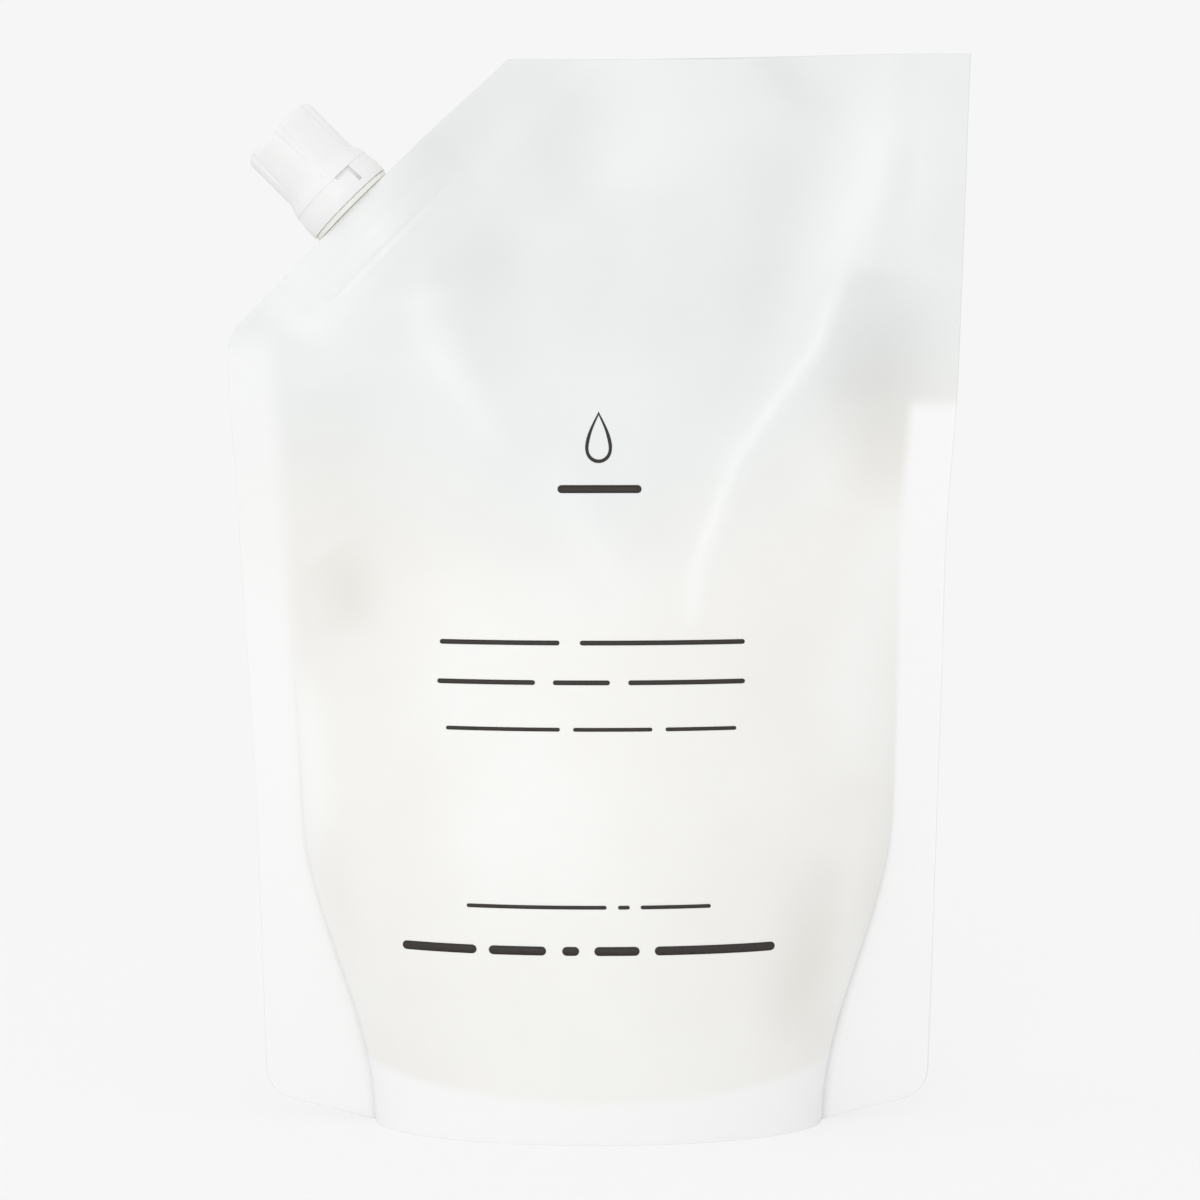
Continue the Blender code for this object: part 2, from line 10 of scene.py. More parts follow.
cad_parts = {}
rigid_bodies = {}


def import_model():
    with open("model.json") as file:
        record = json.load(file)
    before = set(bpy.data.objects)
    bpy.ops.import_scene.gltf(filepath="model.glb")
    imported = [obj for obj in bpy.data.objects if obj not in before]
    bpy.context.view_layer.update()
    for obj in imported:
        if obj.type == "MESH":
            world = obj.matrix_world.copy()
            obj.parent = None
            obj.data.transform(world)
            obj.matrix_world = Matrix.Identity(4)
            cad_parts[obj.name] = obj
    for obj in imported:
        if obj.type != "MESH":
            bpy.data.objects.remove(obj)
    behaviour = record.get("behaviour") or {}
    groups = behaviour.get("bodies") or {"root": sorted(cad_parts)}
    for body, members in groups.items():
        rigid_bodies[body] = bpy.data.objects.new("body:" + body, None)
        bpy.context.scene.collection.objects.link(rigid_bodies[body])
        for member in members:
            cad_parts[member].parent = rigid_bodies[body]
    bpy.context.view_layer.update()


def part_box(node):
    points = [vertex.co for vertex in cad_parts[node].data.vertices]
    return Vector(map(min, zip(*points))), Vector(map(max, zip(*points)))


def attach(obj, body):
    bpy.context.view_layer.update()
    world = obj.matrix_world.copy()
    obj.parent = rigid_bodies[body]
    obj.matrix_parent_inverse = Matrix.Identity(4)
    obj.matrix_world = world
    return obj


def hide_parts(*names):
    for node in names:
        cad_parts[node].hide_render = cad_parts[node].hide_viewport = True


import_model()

MM = 0.001

# The filled pouch
POUCH_WIDTH = 160 * MM
POUCH_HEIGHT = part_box("pouch")[1].z
CORNER_CUT = 60.5 * MM
SEAL_WIDTH = 10 * MM
WELD_THICKNESS = 0.6 * MM
SIDE_DRAW_IN = 7.2 * MM
SHOULDER_ROUND = 3 * MM
FOOT_ROUND = 5 * MM
FOOT_LIFT = 6 * MM
BASE_LENGTH = 98 * MM
BASE_DEPTH = 49 * MM
BELLY_SPREAD = 68 * MM
SKIRT_HEIGHT = 9 * MM
SKIRT_RISE = 0.6
GUSSET_INSET = 7 * MM
FILM_LEAN = 3 * MM
TOP_DIP = 1.4 * MM

# Shares of the pouch's height, each with a share of the size that it shapes
LEFT_DRAW = ((0, 1), (0.21, 0.84), (0.31, 0.74), (0.5, 0.4), (0.61, 0.2), (0.71, 0), (1, 0))
RIGHT_DRAW = ((0, 1.08), (0.21, 0.92), (0.4, 0.76), (0.57, 0.62), (0.68, 0.36), (0.78, 0.23), (1, 0))
BELLY_FULLNESS = (
    (0, 1),
    (0.04, 1.01),
    (0.16, 1.03),
    (0.28, 0.96),
    (0.43, 0.74),
    (0.53, 0.51),
    (0.62, 0.31),
    (0.72, 0.14),
    (0.86, 0.06),
    (0.95, 0),
    (1, 0),
)
SECTION_POWER = ((0, 0.5), (0.1, 0.52), (0.27, 0.66), (0.5, 1), (0.7, 1.2), (1, 1.2))

# Weld base of the spout, which the film closes on
SPOUT_FROM_TOP = 46.8 * MM
BORE_RADIUS = 4.5 * MM
NECK_RADIUS = 6.2 * MM
BOAT_LENGTH = 39 * MM
BOAT_SIDE = 0.3 * MM
BOAT_TIP = 1 * MM
BOAT_HEIGHT = 10.5 * MM
BOAT_RIBS = 4
RIB_DEPTH = 0.3 * MM
FILM_OVER_BOAT = 0.9 * MM
FILM_RELEASE = 16 * MM
SEAT_GAP = 0.3 * MM

# Cap, band and neck, by level over the film's cut edge
COLLAR_WIDTH = 4 * MM
COLLAR_FOOT = 0.08 * MM
COLLAR_TOP = 1.17 * MM
BEAD_LEVEL = 4.2 * MM
BEAD_WIDTH = 0.9 * MM
BEAD_FLAT = 0.4 * MM
NECK_TOP = 21.4 * MM
BAND_RIM = 1.2 * MM
CAP_FOOT = 6.7 * MM
BAND_TOP = CAP_FOOT - 0.02 * MM
BAND_WALL = 0.9 * MM
BAND_RADIUS = 10.5 * MM
FOOT_RADIUS = 10.15 * MM
GRIP_RADIUS = 9.1 * MM
CAP_BORE = 7.35 * MM
FLARE_HEIGHT = 3.7 * MM
CROWN = 23.2 * MM
CAP_CEILING = 21.7 * MM
CAP_EDGE_ROUND = 1.6 * MM
PLUG_RADIUS = 4.15 * MM
PLUG_WALL = 0.9 * MM
PLUG_LENGTH = 3 * MM
THREAD_LEAD = 3 * MM
THREAD_HEIGHT = 0.8 * MM
THREAD_WIDTH = 1.1 * MM
THREAD_LEVEL = 10.4 * MM
NECK_THREAD_TURNS = 2.5
CAP_THREAD_TURNS = 1.6
FLUTES = 6
FLUTE_RADIUS = 1.2 * MM
FLUTE_DEPTH = 0.75 * MM
FLUTE_ANGLE = math.radians(5)
GRIP_RIBS = 90
GRIP_RIB_DEPTH = 0.07 * MM
SLIT_WIDTH = 1 * MM
SLIT_LENGTH = 3.8 * MM
SLIT_FLOOR = 1.5 * MM
SLIT_DEPTH = 0.75 * MM
SLIT_ANGLE = math.radians(33)

# Fineness of the meshes
FLANGE_COLUMNS = 12
BELLY_COLUMNS = 140
FILM_ROWS = 224
GUSSET_ROWS = 28
TURN_STEPS = 360
JOIN = 0.002 * MM
RIM = 0.1 * MM  # from the film's edge to the first row or column inside it

# Folds of the film: side, height and half-width in mm, how much painted light (above 0) or painted shade
# (below 0) the fold puts into the frosted film's colour there, and the points that the fold runs through,
# as shares of the pouch's width and height. The first nine are the solid's own, the others are finer, and
# those without height are only patches of painted light or painted shade.
FOLDS = (
    ("front", 2.4, 8.8, 0.2,
     ((0.47, 0.96), (0.41, 0.89), (0.33, 0.8), (0.29, 0.72), (0.19, 0.62), (0.12, 0.47))),
    ("front", -2.2, 12, -0.55, ((0.4, 0.8), (0.385, 0.74), (0.375, 0.67), (0.36, 0.58))),
    ("front", 1.5, 8, 0.2, ((-0.235, 0.79), (-0.22, 0.72), (-0.145, 0.65))),
    ("front", 1.6, 14.4, 0.03, ((0.09, 0.95), (0.075, 0.8), (0.07, 0.64))),
    ("front", -0.9, 10.4, -0.15, ((-0.135, 0.95), (-0.135, 0.78), (-0.12, 0.62))),
    ("front", -1.2, 7.2, -0.3, ((0.31, 0.27), (0.29, 0.18), (0.27, 0.12), (0.3, 0.06))),
    ("back", 2.2, 8.8, 0.2, ((-0.4, 0.7), (-0.26, 0.66), (-0.14, 0.55))),
    ("back", 1.8, 8.8, 0.2, ((0.4, 0.84), (0.24, 0.74), (0.1, 0.66))),
    ("back", 1.2, 13.6, 0.15, ((-0.05, 0.94), (-0.07, 0.8), (-0.04, 0.64))),
    ("front", 0.7, 1.8, 0.45,
     ((0.34, 0.82), (0.297, 0.729), (0.25, 0.685), (0.192, 0.627), (0.132, 0.521), (0.12, 0.47))),
    ("front", 0.5, 3.5, 0.2, ((-0.25, 0.84), (-0.226, 0.745), (-0.172, 0.681), (-0.12, 0.62))),
    ("front", -0.6, 9, -0.25, ((0.256, 0.95), (0.243, 0.837), (0.23, 0.745), (0.18, 0.64))),
    ("front", -0.5, 6, -0.24, ((-0.37, 0.54), (-0.34, 0.51), (-0.33, 0.46))),
    ("front", -0.4, 15, -0.24, ((-0.38, 0.7), (-0.33, 0.57), (-0.36, 0.4))),
    ("front", 0.4, 3, 0.15, ((0.35, 0.29), (0.34, 0.188), (0.325, 0.1))),
    ("front", 0.4, 5, 0.12, ((-0.06, 0.64), (-0.011, 0.553), (0.06, 0.5))),
    ("front", 0.45, 4, 0.2, ((-0.41, 0.44), (-0.39, 0.345), (-0.38, 0.25))),
    ("front", -0.4, 4, -0.14, ((-0.375, 0.29), (-0.35, 0.22), (-0.33, 0.14))),
    ("front", -0.5, 5, -0.25, ((0.2, 1.03), (0.24, 0.985), (0.27, 0.96), (0.33, 0.94))),
    ("front", 0.35, 8, 0.22, ((0.42, 0.61), (0.38, 0.5), (0.35, 0.42), (0.36, 0.32))),
    ("front", 0, 10, 0.5, ((-0.26, 0.92), (-0.36, 0.82), (-0.42, 0.74))),
    ("front", 0, 11, 0.22, ((0.05, 1.1), (0.07, 0.95), (0.06, 0.87))),
    ("front", 0, 8, -0.26, ((-0.1, 1), (-0.18, 0.934), (-0.26, 0.885), (-0.32, 0.85))),
    ("front", 0, 9, -0.25, ((-0.05, 1.02), (-0.05, 0.92), (-0.06, 0.84))),
    ("front", 0, 13, -0.16, ((0.02, 0.88), (0, 0.8), (0.04, 0.7))),
    ("front", 0, 5, 0.06,
     ((-0.415, 0.44), (-0.385, 0.28), (-0.345, 0.16), (-0.315, 0.04), (-0.31, -0.12))),
    ("front", 0, 5, 0.22, ((0.37, 0.2), (0.34, 0.12), (0.315, 0.03), (0.31, -0.12))),
    ("front", 0, 9, 0.24, ((0.38, 1.02), (0.385, 0.915), (0.38, 0.8))),
    ("front", 0, 7, 0.22, ((0.33, 0.69), (0.31, 0.634), (0.3, 0.58))),
    ("front", 0, 27, 0.18, ((-0.08, 0.55), (-0.07, 0.36), (-0.06, 0.2), (-0.02, -0.1))),
    ("back", -0.8, 9, -0.3, ((-0.3, 0.84), (-0.33, 0.74), (-0.36, 0.62))),
    ("back", 0.6, 1.8, 0.35, ((-0.42, 0.72), (-0.27, 0.665), (-0.15, 0.56), (-0.1, 0.47))),
    ("back", -0.7, 8, -0.25, ((0.36, 0.7), (0.33, 0.58), (0.31, 0.45))),
    ("back", -0.8, 6.5, -0.3, ((-0.29, 0.26), (-0.27, 0.16), (-0.3, 0.07))),
    ("back", 0.5, 4, 0.15, ((0.3, 0.88), (0.22, 0.8), (0.2, 0.7))),
)
# How far the film's colour leans from its painted-shade copy to its painted-light copy where no fold
# changes it.
PAINTED_LIGHT_BASE = 0.74

# Where the soap ends behind the film, as shares of the pouch's width and height
SOAP_LEVEL = (
    (-0.47, 0.615),
    (-0.36, 0.62),
    (-0.23, 0.59),
    (-0.1, 0.55),
    (0, 0.535),
    (0.135, 0.57),
    (0.24, 0.615),
    (0.34, 0.66),
    (0.47, 0.675),
)
SOAP_BLEND = 44 * MM

# Where the film looks white because its layers are welded: the side seals up to these levels, and a round
# patch at the lower end of the spout's weld
LEFT_WELD_TOP = 171 * MM
RIGHT_WELD_TOP = 157 * MM
FAINT_WELD_FROM = 105 * MM
SPOUT_PATCH_X, SPOUT_PATCH_Z, SPOUT_PATCH_RADIUS = -57 * MM, 187 * MM, 14 * MM

# Unevenness of the slack film
CRUMPLE_HEIGHT = 0.16 * MM
PUCKER_HEIGHT = 0.3 * MM
PUCKER_LENGTH = 11 * MM

# The printed front: each row's height over the floor and line thickness, then where its lines start and end
INK_ROWS = (
    (139, 1.7, (-8.8, 9.2)),
    (106.7, 1.0, (-33.9, -8.3), (-4.0, 31.2)),
    (98.4, 1.0, (-34.4, -13.5), (-9.7, 2.4), (6.3, 31.2)),
    (88.6, 0.8, (-32.5, -8.2), (-5.4, 11.4), (14.2, 29.3)),
    (51.3, 0.8, (-28.0, 1.7), (4.1, 6.6), (8.9, 23.8)),
    (42.0, 1.9, (-41.9, -25.9), (-23.3, -11.1), (-7.7, -4.1), (-0.9, 8.7), (11.9, 37.6)),
)
INK_PROUD = 0.05 * MM
DROP_HEIGHT = 11 * MM
DROP_LEVEL = 150 * MM
DROP_LINE = 0.75 * MM


def smooth(share):
    share = np.clip(share, 0, 1)
    return share * share * (3 - 2 * share)


def along(points, place):
    """Reads a smooth curve through (place, value) points, and holds its ends."""
    places = np.array([p[0] for p in points], float)
    values = np.array([p[1] for p in points], float)
    slopes = np.diff(values) / np.diff(places)
    middle = np.where(slopes[1:] * slopes[:-1] > 0, (slopes[1:] + slopes[:-1]) / 2, 0)
    knots = np.concatenate((slopes[:1], middle, slopes[-1:]))
    place = np.clip(place, places[0], places[-1])
    span = np.clip(np.searchsorted(places, place, side="left") - 1, 0, len(slopes) - 1)
    width = places[span + 1] - places[span]
    t = (place - places[span]) / width
    rise = values[span] + (values[span + 1] - values[span]) * smooth(t)
    return rise + width * t * (1 - t) * (knots[span] * (1 - t) - knots[span + 1] * t)


def from_path(x, z, path):
    """Distance of points from a path of straight runs, and the nearest place's share of the path."""
    best = np.full(np.shape(x), 1e9)
    share_of_path = np.zeros(np.shape(x))
    for run, (start, end) in enumerate(zip(path, path[1:])):
        step = (end[0] - start[0], end[1] - start[1])
        share = ((x - start[0]) * step[0] + (z - start[1]) * step[1]) / (step[0] ** 2 + step[1] ** 2)
        share = np.clip(share, 0, 1)
        away = np.hypot(x - start[0] - step[0] * share, z - start[1] - step[1] * share)
        share_of_path = np.where(away < best, (run + share) / (len(path) - 1), share_of_path)
        best = np.minimum(away, best)
    return best, share_of_path


def film_ends(height):
    """Left and right edge of the film at a height, with the slanted cut and the rounded corners."""
    share = height / POUCH_HEIGHT
    left = -POUCH_WIDTH / 2 + SIDE_DRAW_IN * along(LEFT_DRAW, share)
    right = POUCH_WIDTH / 2 - SIDE_DRAW_IN * along(RIGHT_DRAW, share)
    below = np.maximum(FOOT_ROUND - height, 0)
    foot = FOOT_ROUND - np.sqrt(FOOT_ROUND**2 - below**2)
    over = height - (POUCH_HEIGHT - CORNER_CUT)
    eased = np.maximum(over + SHOULDER_ROUND, 0) ** 2 / (4 * SHOULDER_ROUND)
    cut = np.where(over > SHOULDER_ROUND, over, eased)
    return left + foot + cut, right - foot


def belly_ends(height):
    """Where the belly leaves the flat side seals, which draw in to the open oval at the floor."""
    left, right = film_ends(height)
    over = height - (POUCH_HEIGHT - CORNER_CUT)
    slant = 1 + (math.sqrt(2) - 1) * smooth(over / SEAL_WIDTH)
    grown = smooth(height / BELLY_SPREAD)
    half_base = BASE_LENGTH / 2
    seal_left = left + SEAL_WIDTH * slant
    seal_right = right - SEAL_WIDTH
    return -half_base + (seal_left + half_base) * grown, half_base + (seal_right - half_base) * grown


def spout_place():
    down = SPOUT_FROM_TOP / math.sqrt(2)
    return CORNER_CUT - POUCH_WIDTH / 2 - down, POUCH_HEIGHT - down


def from_spout(x, z):
    """A point's place along the cut edge from the spout's axis, and its depth below that edge."""
    axis_x, axis_z = spout_place()
    return ((x - axis_x) + (z - axis_z)) / math.sqrt(2), ((x - axis_x) - (z - axis_z)) / math.sqrt(2)


def boat_half_thickness(along_edge):
    share = np.minimum(np.abs(along_edge) / (BOAT_LENGTH / 2), 1)
    tip = BOAT_TIP / 2
    return tip + (NECK_RADIUS + BOAT_SIDE - tip) * np.cos(share * math.pi / 2) ** 1.7


def spout_swell(x, z):
    """How far the film stands off the middle plane over the weld base and past its lower end."""
    along_edge, depth = from_spout(x, z)
    past = (depth - BOAT_HEIGHT) / FILM_RELEASE
    narrowed = along_edge / (1 + np.maximum(past, 0))
    stands = boat_half_thickness(narrowed) - BOAT_TIP / 2
    beyond_tip = np.abs(along_edge) / (BOAT_LENGTH / 2) - 1
    over_weld = FILM_OVER_BOAT * (1 - smooth(beyond_tip * 4)) * (1 - smooth(past * 2))
    return stands * (1 - smooth(past / 2)) + over_weld


def weld_ribs(x, z):
    """The welded film sinks a little between the ribs of the weld base, most at its lower end."""
    along_edge, depth = from_spout(x, z)
    pitch = BOAT_HEIGHT / (BOAT_RIBS + 0.5)
    over_base = 1 - smooth((np.abs(along_edge) / (BOAT_LENGTH / 2) - 0.82) * 6)
    wave = np.cos(2 * math.pi * (depth - BOAT_HEIGHT + 0.25 * pitch) / pitch)
    reach = smooth(depth / (0.7 * BOAT_HEIGHT)) * (1 - smooth((depth - BOAT_HEIGHT - 0.2 * pitch) / pitch))
    return 0.2 * MM * (1 + wave) * reach * over_base


def folds(x, z, side):
    """Height of the folds at points of a film, and the painted light or painted shade that they put into
    its colour.
    """
    height, tone = np.zeros(np.shape(x)), np.zeros(np.shape(x))
    for fold_side, ridge, half_width, lighter, path in FOLDS:
        if fold_side != side:
            continue
        points = [(px * POUCH_WIDTH, pz * POUCH_HEIGHT) for px, pz in path]
        away, place = from_path(x, z, points)
        near = np.exp(-((away / (half_width * MM)) ** 2))
        height += ridge * MM * near * smooth(place * 5) * smooth((1 - place) * 2.5)
        # Painted light on ridges and painted shade in hollows, strongest at the middle of each fold.
        tone += lighter * near * np.sin(math.pi * place) ** 0.7
    return height, tone


def crumple(x, z, side):
    """Slight unevenness of the slack film, as a few long waves across each other, from -1 to 1."""
    chance = np.random.default_rng(7 if side == "front" else 19)
    total = np.zeros(np.shape(x))
    for length in (52, 43, 37, 31, 26, 21, 17):
        turn, phase = chance.uniform(0, math.pi), chance.uniform(0, 2 * math.pi)
        run = (x * math.cos(turn) + z * math.sin(turn)) / (length * MM)
        total += length / 52 * np.sin(2 * math.pi * run + phase)
    return total / 3


def puckers(x, z, side):
    """Small waves of the film where it leaves the side seals, which heat has shrunk."""
    left, right = belly_ends(z)
    inward = np.minimum(x - left, right - x)
    shift = 2.1 if side == "front" else 4.4
    turned = 2 * math.pi * z / PUCKER_LENGTH + 1.7 * np.sin(z / (13 * MM) + shift)
    wave = np.sin(turned + np.where(x < 0, shift, 0))
    return wave * smooth(inward / (3 * MM)) * np.exp(-np.maximum(inward, 0) / (6 * MM))


def seal_rise(x):
    """Height of the bottom seal, which grows taller towards the sides."""
    return SKIRT_HEIGHT * (1 + SKIRT_RISE * (2 * x / BASE_LENGTH) ** 2)


def film_offset(x, height, side):
    """Distance of one film from the middle plane of the pouch."""
    left, right = belly_ends(height)
    across = (2 * x - left - right) / (right - left)
    inside = np.maximum(1 - across * across, 0)
    share = height / POUCH_HEIGHT
    bulge = BASE_DEPTH / 2 * along(BELLY_FULLNESS, share) * inside ** along(SECTION_POWER, share)
    below_seal = smooth((POUCH_HEIGHT - SEAL_WIDTH - height) / SEAL_WIDTH)
    slack = smooth((share - 0.42) / 0.2) + 0.35
    fine = CRUMPLE_HEIGHT * slack * crumple(x, height, side) + PUCKER_HEIGHT * puckers(x, height, side)
    over_base = smooth((height - seal_rise(x)) / (4 * MM))
    bulge = bulge + (folds(x, height, side)[0] + fine * over_base) * smooth(3 * inside) * below_seal
    bulge = (bulge + np.hypot(bulge, 1.2 * MM * smooth(3 * inside))) / 2
    swell = spout_swell(x, height)
    bulge = np.hypot(bulge, swell) + weld_ribs(x, height)
    edge_left, edge_right = film_ends(height)
    slant = np.where(height > POUCH_HEIGHT - CORNER_CUT, 1 / math.sqrt(2), 1)
    from_edge = np.minimum((x - edge_left) * slant, edge_right - x)
    from_edge = np.minimum(from_edge, POUCH_HEIGHT - height)
    from_edge = np.where(np.abs(across) >= 1 - 1e-6, np.minimum(from_edge, height), from_edge)
    from_edge = np.where(swell > WELD_THICKNESS, WELD_THICKNESS, from_edge)
    thin = np.sqrt(np.clip((from_edge - JOIN) / (0.9 * RIM), 0, 1))
    return WELD_THICKNESS / 2 * thin + bulge


def film_lean(x, height):
    return FILM_LEAN * smooth((height / POUCH_HEIGHT - 0.6) / 0.4) * smooth(2 * x / POUCH_WIDTH)


def film_height(x, height):
    """Height of a point of the film, with the lower corners lifted and the upper edge sunk at its left."""
    start = BASE_LENGTH / 2
    reach = (np.abs(x) - start) / (POUCH_WIDTH / 2 - SIDE_DRAW_IN - start)
    fade = 1 - smooth(height / (4 * SKIRT_HEIGHT))
    dip = TOP_DIP * smooth((height / POUCH_HEIGHT - 0.92) / 0.08) * smooth((0.45 - x / POUCH_WIDTH) / 0.35)
    return height + FOOT_LIFT * np.clip(reach, 0, 1) * fade - dip


def near_rim(out):
    """Spreads the columns of a flange, with two of them close inside the film's edge."""
    columns = (0, 1, 2, FLANGE_COLUMNS)
    from_edge = np.interp((1 - out) * FLANGE_COLUMNS, columns, (0, RIM, 2.5 * RIM, SEAL_WIDTH))
    return 1 - from_edge / SEAL_WIDTH


def row_height(share):
    """Height of a row, with two rows close inside the film's lower edge and two inside its upper edge."""
    close = np.array((0, RIM, 2.5 * RIM))
    rows = (0, 1, 2, FILM_ROWS - 2, FILM_ROWS - 1, FILM_ROWS)
    return np.interp(np.round(share * FILM_ROWS), rows, (*close, *(POUCH_HEIGHT - close[::-1])))


def column_place(share, height):
    """The x place of a column, with close columns in the flat seals and at both ends of the belly."""
    left, right = film_ends(height)
    belly_left, belly_right = belly_ends(height)
    columns = 2 * FLANGE_COLUMNS + BELLY_COLUMNS
    column = share * columns
    across = np.clip((column - FLANGE_COLUMNS) / BELLY_COLUMNS, 0, 1)
    spread = (2 * across - 1 - np.cos(math.pi * across)) / 2
    belly = (belly_left + belly_right) / 2 + (belly_right - belly_left) / 2 * spread
    out_left = near_rim(np.clip(1 - column / FLANGE_COLUMNS, 0, 1))
    out_right = near_rim(np.clip((column - FLANGE_COLUMNS - BELLY_COLUMNS) / FLANGE_COLUMNS, 0, 1))
    return belly + (left - belly_left) * out_left + (right - belly_right) * out_right


def read_points(mesh):
    points = np.empty(len(mesh.vertices) * 3)
    mesh.vertices.foreach_get("co", points)
    return points.reshape(-1, 3)


def grid_mesh(name, columns, rows, shape):
    """A grid whose points are moved to where shape() puts their shares along its columns and rows."""
    bm = bmesh.new()
    bmesh.ops.create_grid(bm, x_segments=columns, y_segments=rows, size=0.5)
    mesh = bpy.data.meshes.new(name)
    bm.to_mesh(mesh)
    bm.free()
    flat = read_points(mesh)
    points = np.column_stack(shape(flat[:, 0] + 0.5, flat[:, 1] + 0.5))
    mesh.vertices.foreach_set("co", points.ravel())
    return mesh


def film_shape(side):
    def shape(across, up):
        height = row_height(up)
        x = column_place(across, height)
        offset = film_offset(x, height, side)
        sign = -1 if side == "front" else 1
        return x, film_lean(x, height) + sign * offset, film_height(x, height)

    return shape


def gusset_shape(across, along_line):
    """The base, from the front film's lower edge up inside the skirt, over the floor and out again."""
    zero = np.zeros(np.shape(across))
    column = FLANGE_COLUMNS + across * BELLY_COLUMNS
    x = column_place(column / (2 * FLANGE_COLUMNS + BELLY_COLUMNS), zero)
    outer = film_offset(x, zero, "front")
    inner = np.maximum(outer - WELD_THICKNESS, 0)
    rise = seal_rise(x)
    inset = np.minimum(GUSSET_INSET, 0.5 * inner)
    from_front = np.abs(2 * along_line - 1)
    side = np.sign(2 * along_line - 1)
    lip = 2 / GUSSET_ROWS
    climb = np.clip((1 - lip - from_front) / 0.7, 0, 1)
    y = np.where(from_front > 1 - lip / 2, outer, inner - inset * climb)
    flat = (1 - lip - 0.7) > from_front
    y = np.where(flat, (inner - inset) * from_front / (1 - lip - 0.7), y)
    z = np.where(from_front > 1 - 1.5 * lip, 0, rise * (1 - np.sqrt(1 - (1 - climb) ** 2)))
    z = np.where(inner > 0, z, 0)
    return x, side * y, z + film_height(x, zero)


def finish_mesh(bm, name):
    bmesh.ops.remove_doubles(bm, verts=bm.verts, dist=JOIN)
    bmesh.ops.dissolve_degenerate(bm, edges=bm.edges, dist=JOIN)
    bmesh.ops.recalc_face_normals(bm, faces=bm.faces)
    mesh = bpy.data.meshes.new(name)
    bm.to_mesh(mesh)
    bm.free()
    return mesh


def new_piece(name, mesh, material, body, nodes):
    """Adds a finished piece to the scene, on its body and in place of its plain solids."""
    piece = bpy.data.objects.new(name, mesh)
    bpy.context.scene.collection.objects.link(piece)
    mesh.materials.clear()
    mesh.materials.append(material)
    mesh.shade_smooth()
    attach(piece, body)
    if nodes:
        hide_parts(*nodes)
    return piece


def apply_modifiers(piece):
    """Makes the piece's modifiers part of its mesh."""
    graph = bpy.context.evaluated_depsgraph_get()
    mesh = bpy.data.meshes.new_from_object(piece.evaluated_get(graph))
    piece.modifiers.clear()
    piece.data = mesh


def cut_with(mesh, cutter_mesh, operation="DIFFERENCE", solver="MANIFOLD"):
    """The mesh with a cutter's shape taken out or joined on."""
    scene = bpy.context.scene.collection.objects
    body = bpy.data.objects.new("cut", mesh)
    cutter = bpy.data.objects.new("cutter", cutter_mesh)
    scene.link(body)
    scene.link(cutter)
    modifier = body.modifiers.new("cut", "BOOLEAN")
    modifier.operation = operation
    modifier.solver = solver
    modifier.object = cutter
    apply_modifiers(body)
    done = body.data
    bpy.data.objects.remove(body)
    bpy.data.objects.remove(cutter)
    return done


def spout_matrix():
    axis_x, axis_z = spout_place()
    return Matrix.Translation((axis_x, 0, axis_z)) @ Matrix.Rotation(-math.pi / 4, 4, "Y")


def boat_mesh(name, sections):
    """The weld base as a stack of boat-shaped outlines, each a level, a size to grow by and a fullness."""
    bm = bmesh.new()
    bmesh.ops.create_circle(bm, cap_ends=True, segments=96, radius=1)
    base = [v.co.copy() for v in bm.verts]
    last = list(bm.faces)
    placed = list(bm.verts)
    for step, (level, grow) in enumerate(sections):
        if step:
            grown = bmesh.ops.extrude_face_region(bm, geom=last)["geom"]
            if step > 1:
                bmesh.ops.delete(bm, geom=last, context="FACES_ONLY")
            last = [f for f in grown if isinstance(f, bmesh.types.BMFace)]
            placed = [v for v in grown if isinstance(v, bmesh.types.BMVert)]
        for vert, flat in zip(sorted(placed, key=lambda v: v.index), base):
            share = math.copysign(1 - (1 - abs(flat.x)) ** 1.4, flat.x)
            place = share * BOAT_LENGTH / 2
            thickness = float(boat_half_thickness(place)) + grow
            side = math.copysign(1, flat.y) * smooth(abs(flat.y) * 30)
            vert.co = Vector((place + grow * share, side * thickness, level))
    return finish_mesh(bm, name)


def film_mesh():
    """Front film, back film and gusset as one closed skin with a pocket for the weld base."""
    columns = 2 * FLANGE_COLUMNS + BELLY_COLUMNS
    bm = bmesh.new()
    bm.from_mesh(grid_mesh("front", columns, FILM_ROWS, film_shape("front")))
    bm.from_mesh(grid_mesh("back", columns, FILM_ROWS, film_shape("back")))
    bm.from_mesh(grid_mesh("base", BELLY_COLUMNS, GUSSET_ROWS, gusset_shape))
    bmesh.ops.remove_doubles(bm, verts=bm.verts, dist=JOIN)
    rims = [e for e in bm.edges if len(e.link_faces) == 1]
    bmesh.ops.holes_fill(bm, edges=rims)
    skin = finish_mesh(bm, "film_skin")
    pocket = boat_mesh("pocket", ((-BOAT_HEIGHT - SEAT_GAP, SEAT_GAP), (SEAL_WIDTH, SEAT_GAP)))
    pocket.transform(spout_matrix())
    return cut_with(skin, pocket)


def linear(code):
    """An sRGB hex colour as linear red, green, blue and alpha."""
    parts = [int(code[i : i + 2], 16) / 255 for i in (1, 3, 5)]
    return [c / 12.92 if c <= 0.04045 else ((c + 0.055) / 1.055) ** 2.4 for c in parts] + [1]


def add_node(material, kind, settings=(), links=()):
    """Adds a node, sets its properties and sockets by name, and links (socket, from node, from socket)."""
    tree = material.node_tree
    node = tree.nodes.new(kind)
    for name, value in dict(settings).items():
        if isinstance(name, str) and hasattr(node, name):
            setattr(node, name, value)
        else:
            node.inputs[name].default_value = value
    for socket, source, output in links:
        tree.links.new(source.outputs[output], node.inputs[socket])
    return node


def new_material(name, shader_settings):
    material = bpy.data.materials.new(name)
    material.use_nodes = True
    shader = material.node_tree.nodes["Principled BSDF"]
    for socket, value in shader_settings.items():
        shader.inputs[socket].default_value = value
    return material, shader


def link(material, source, output, target, socket):
    material.node_tree.links.new(source.outputs[output], target.inputs[socket])


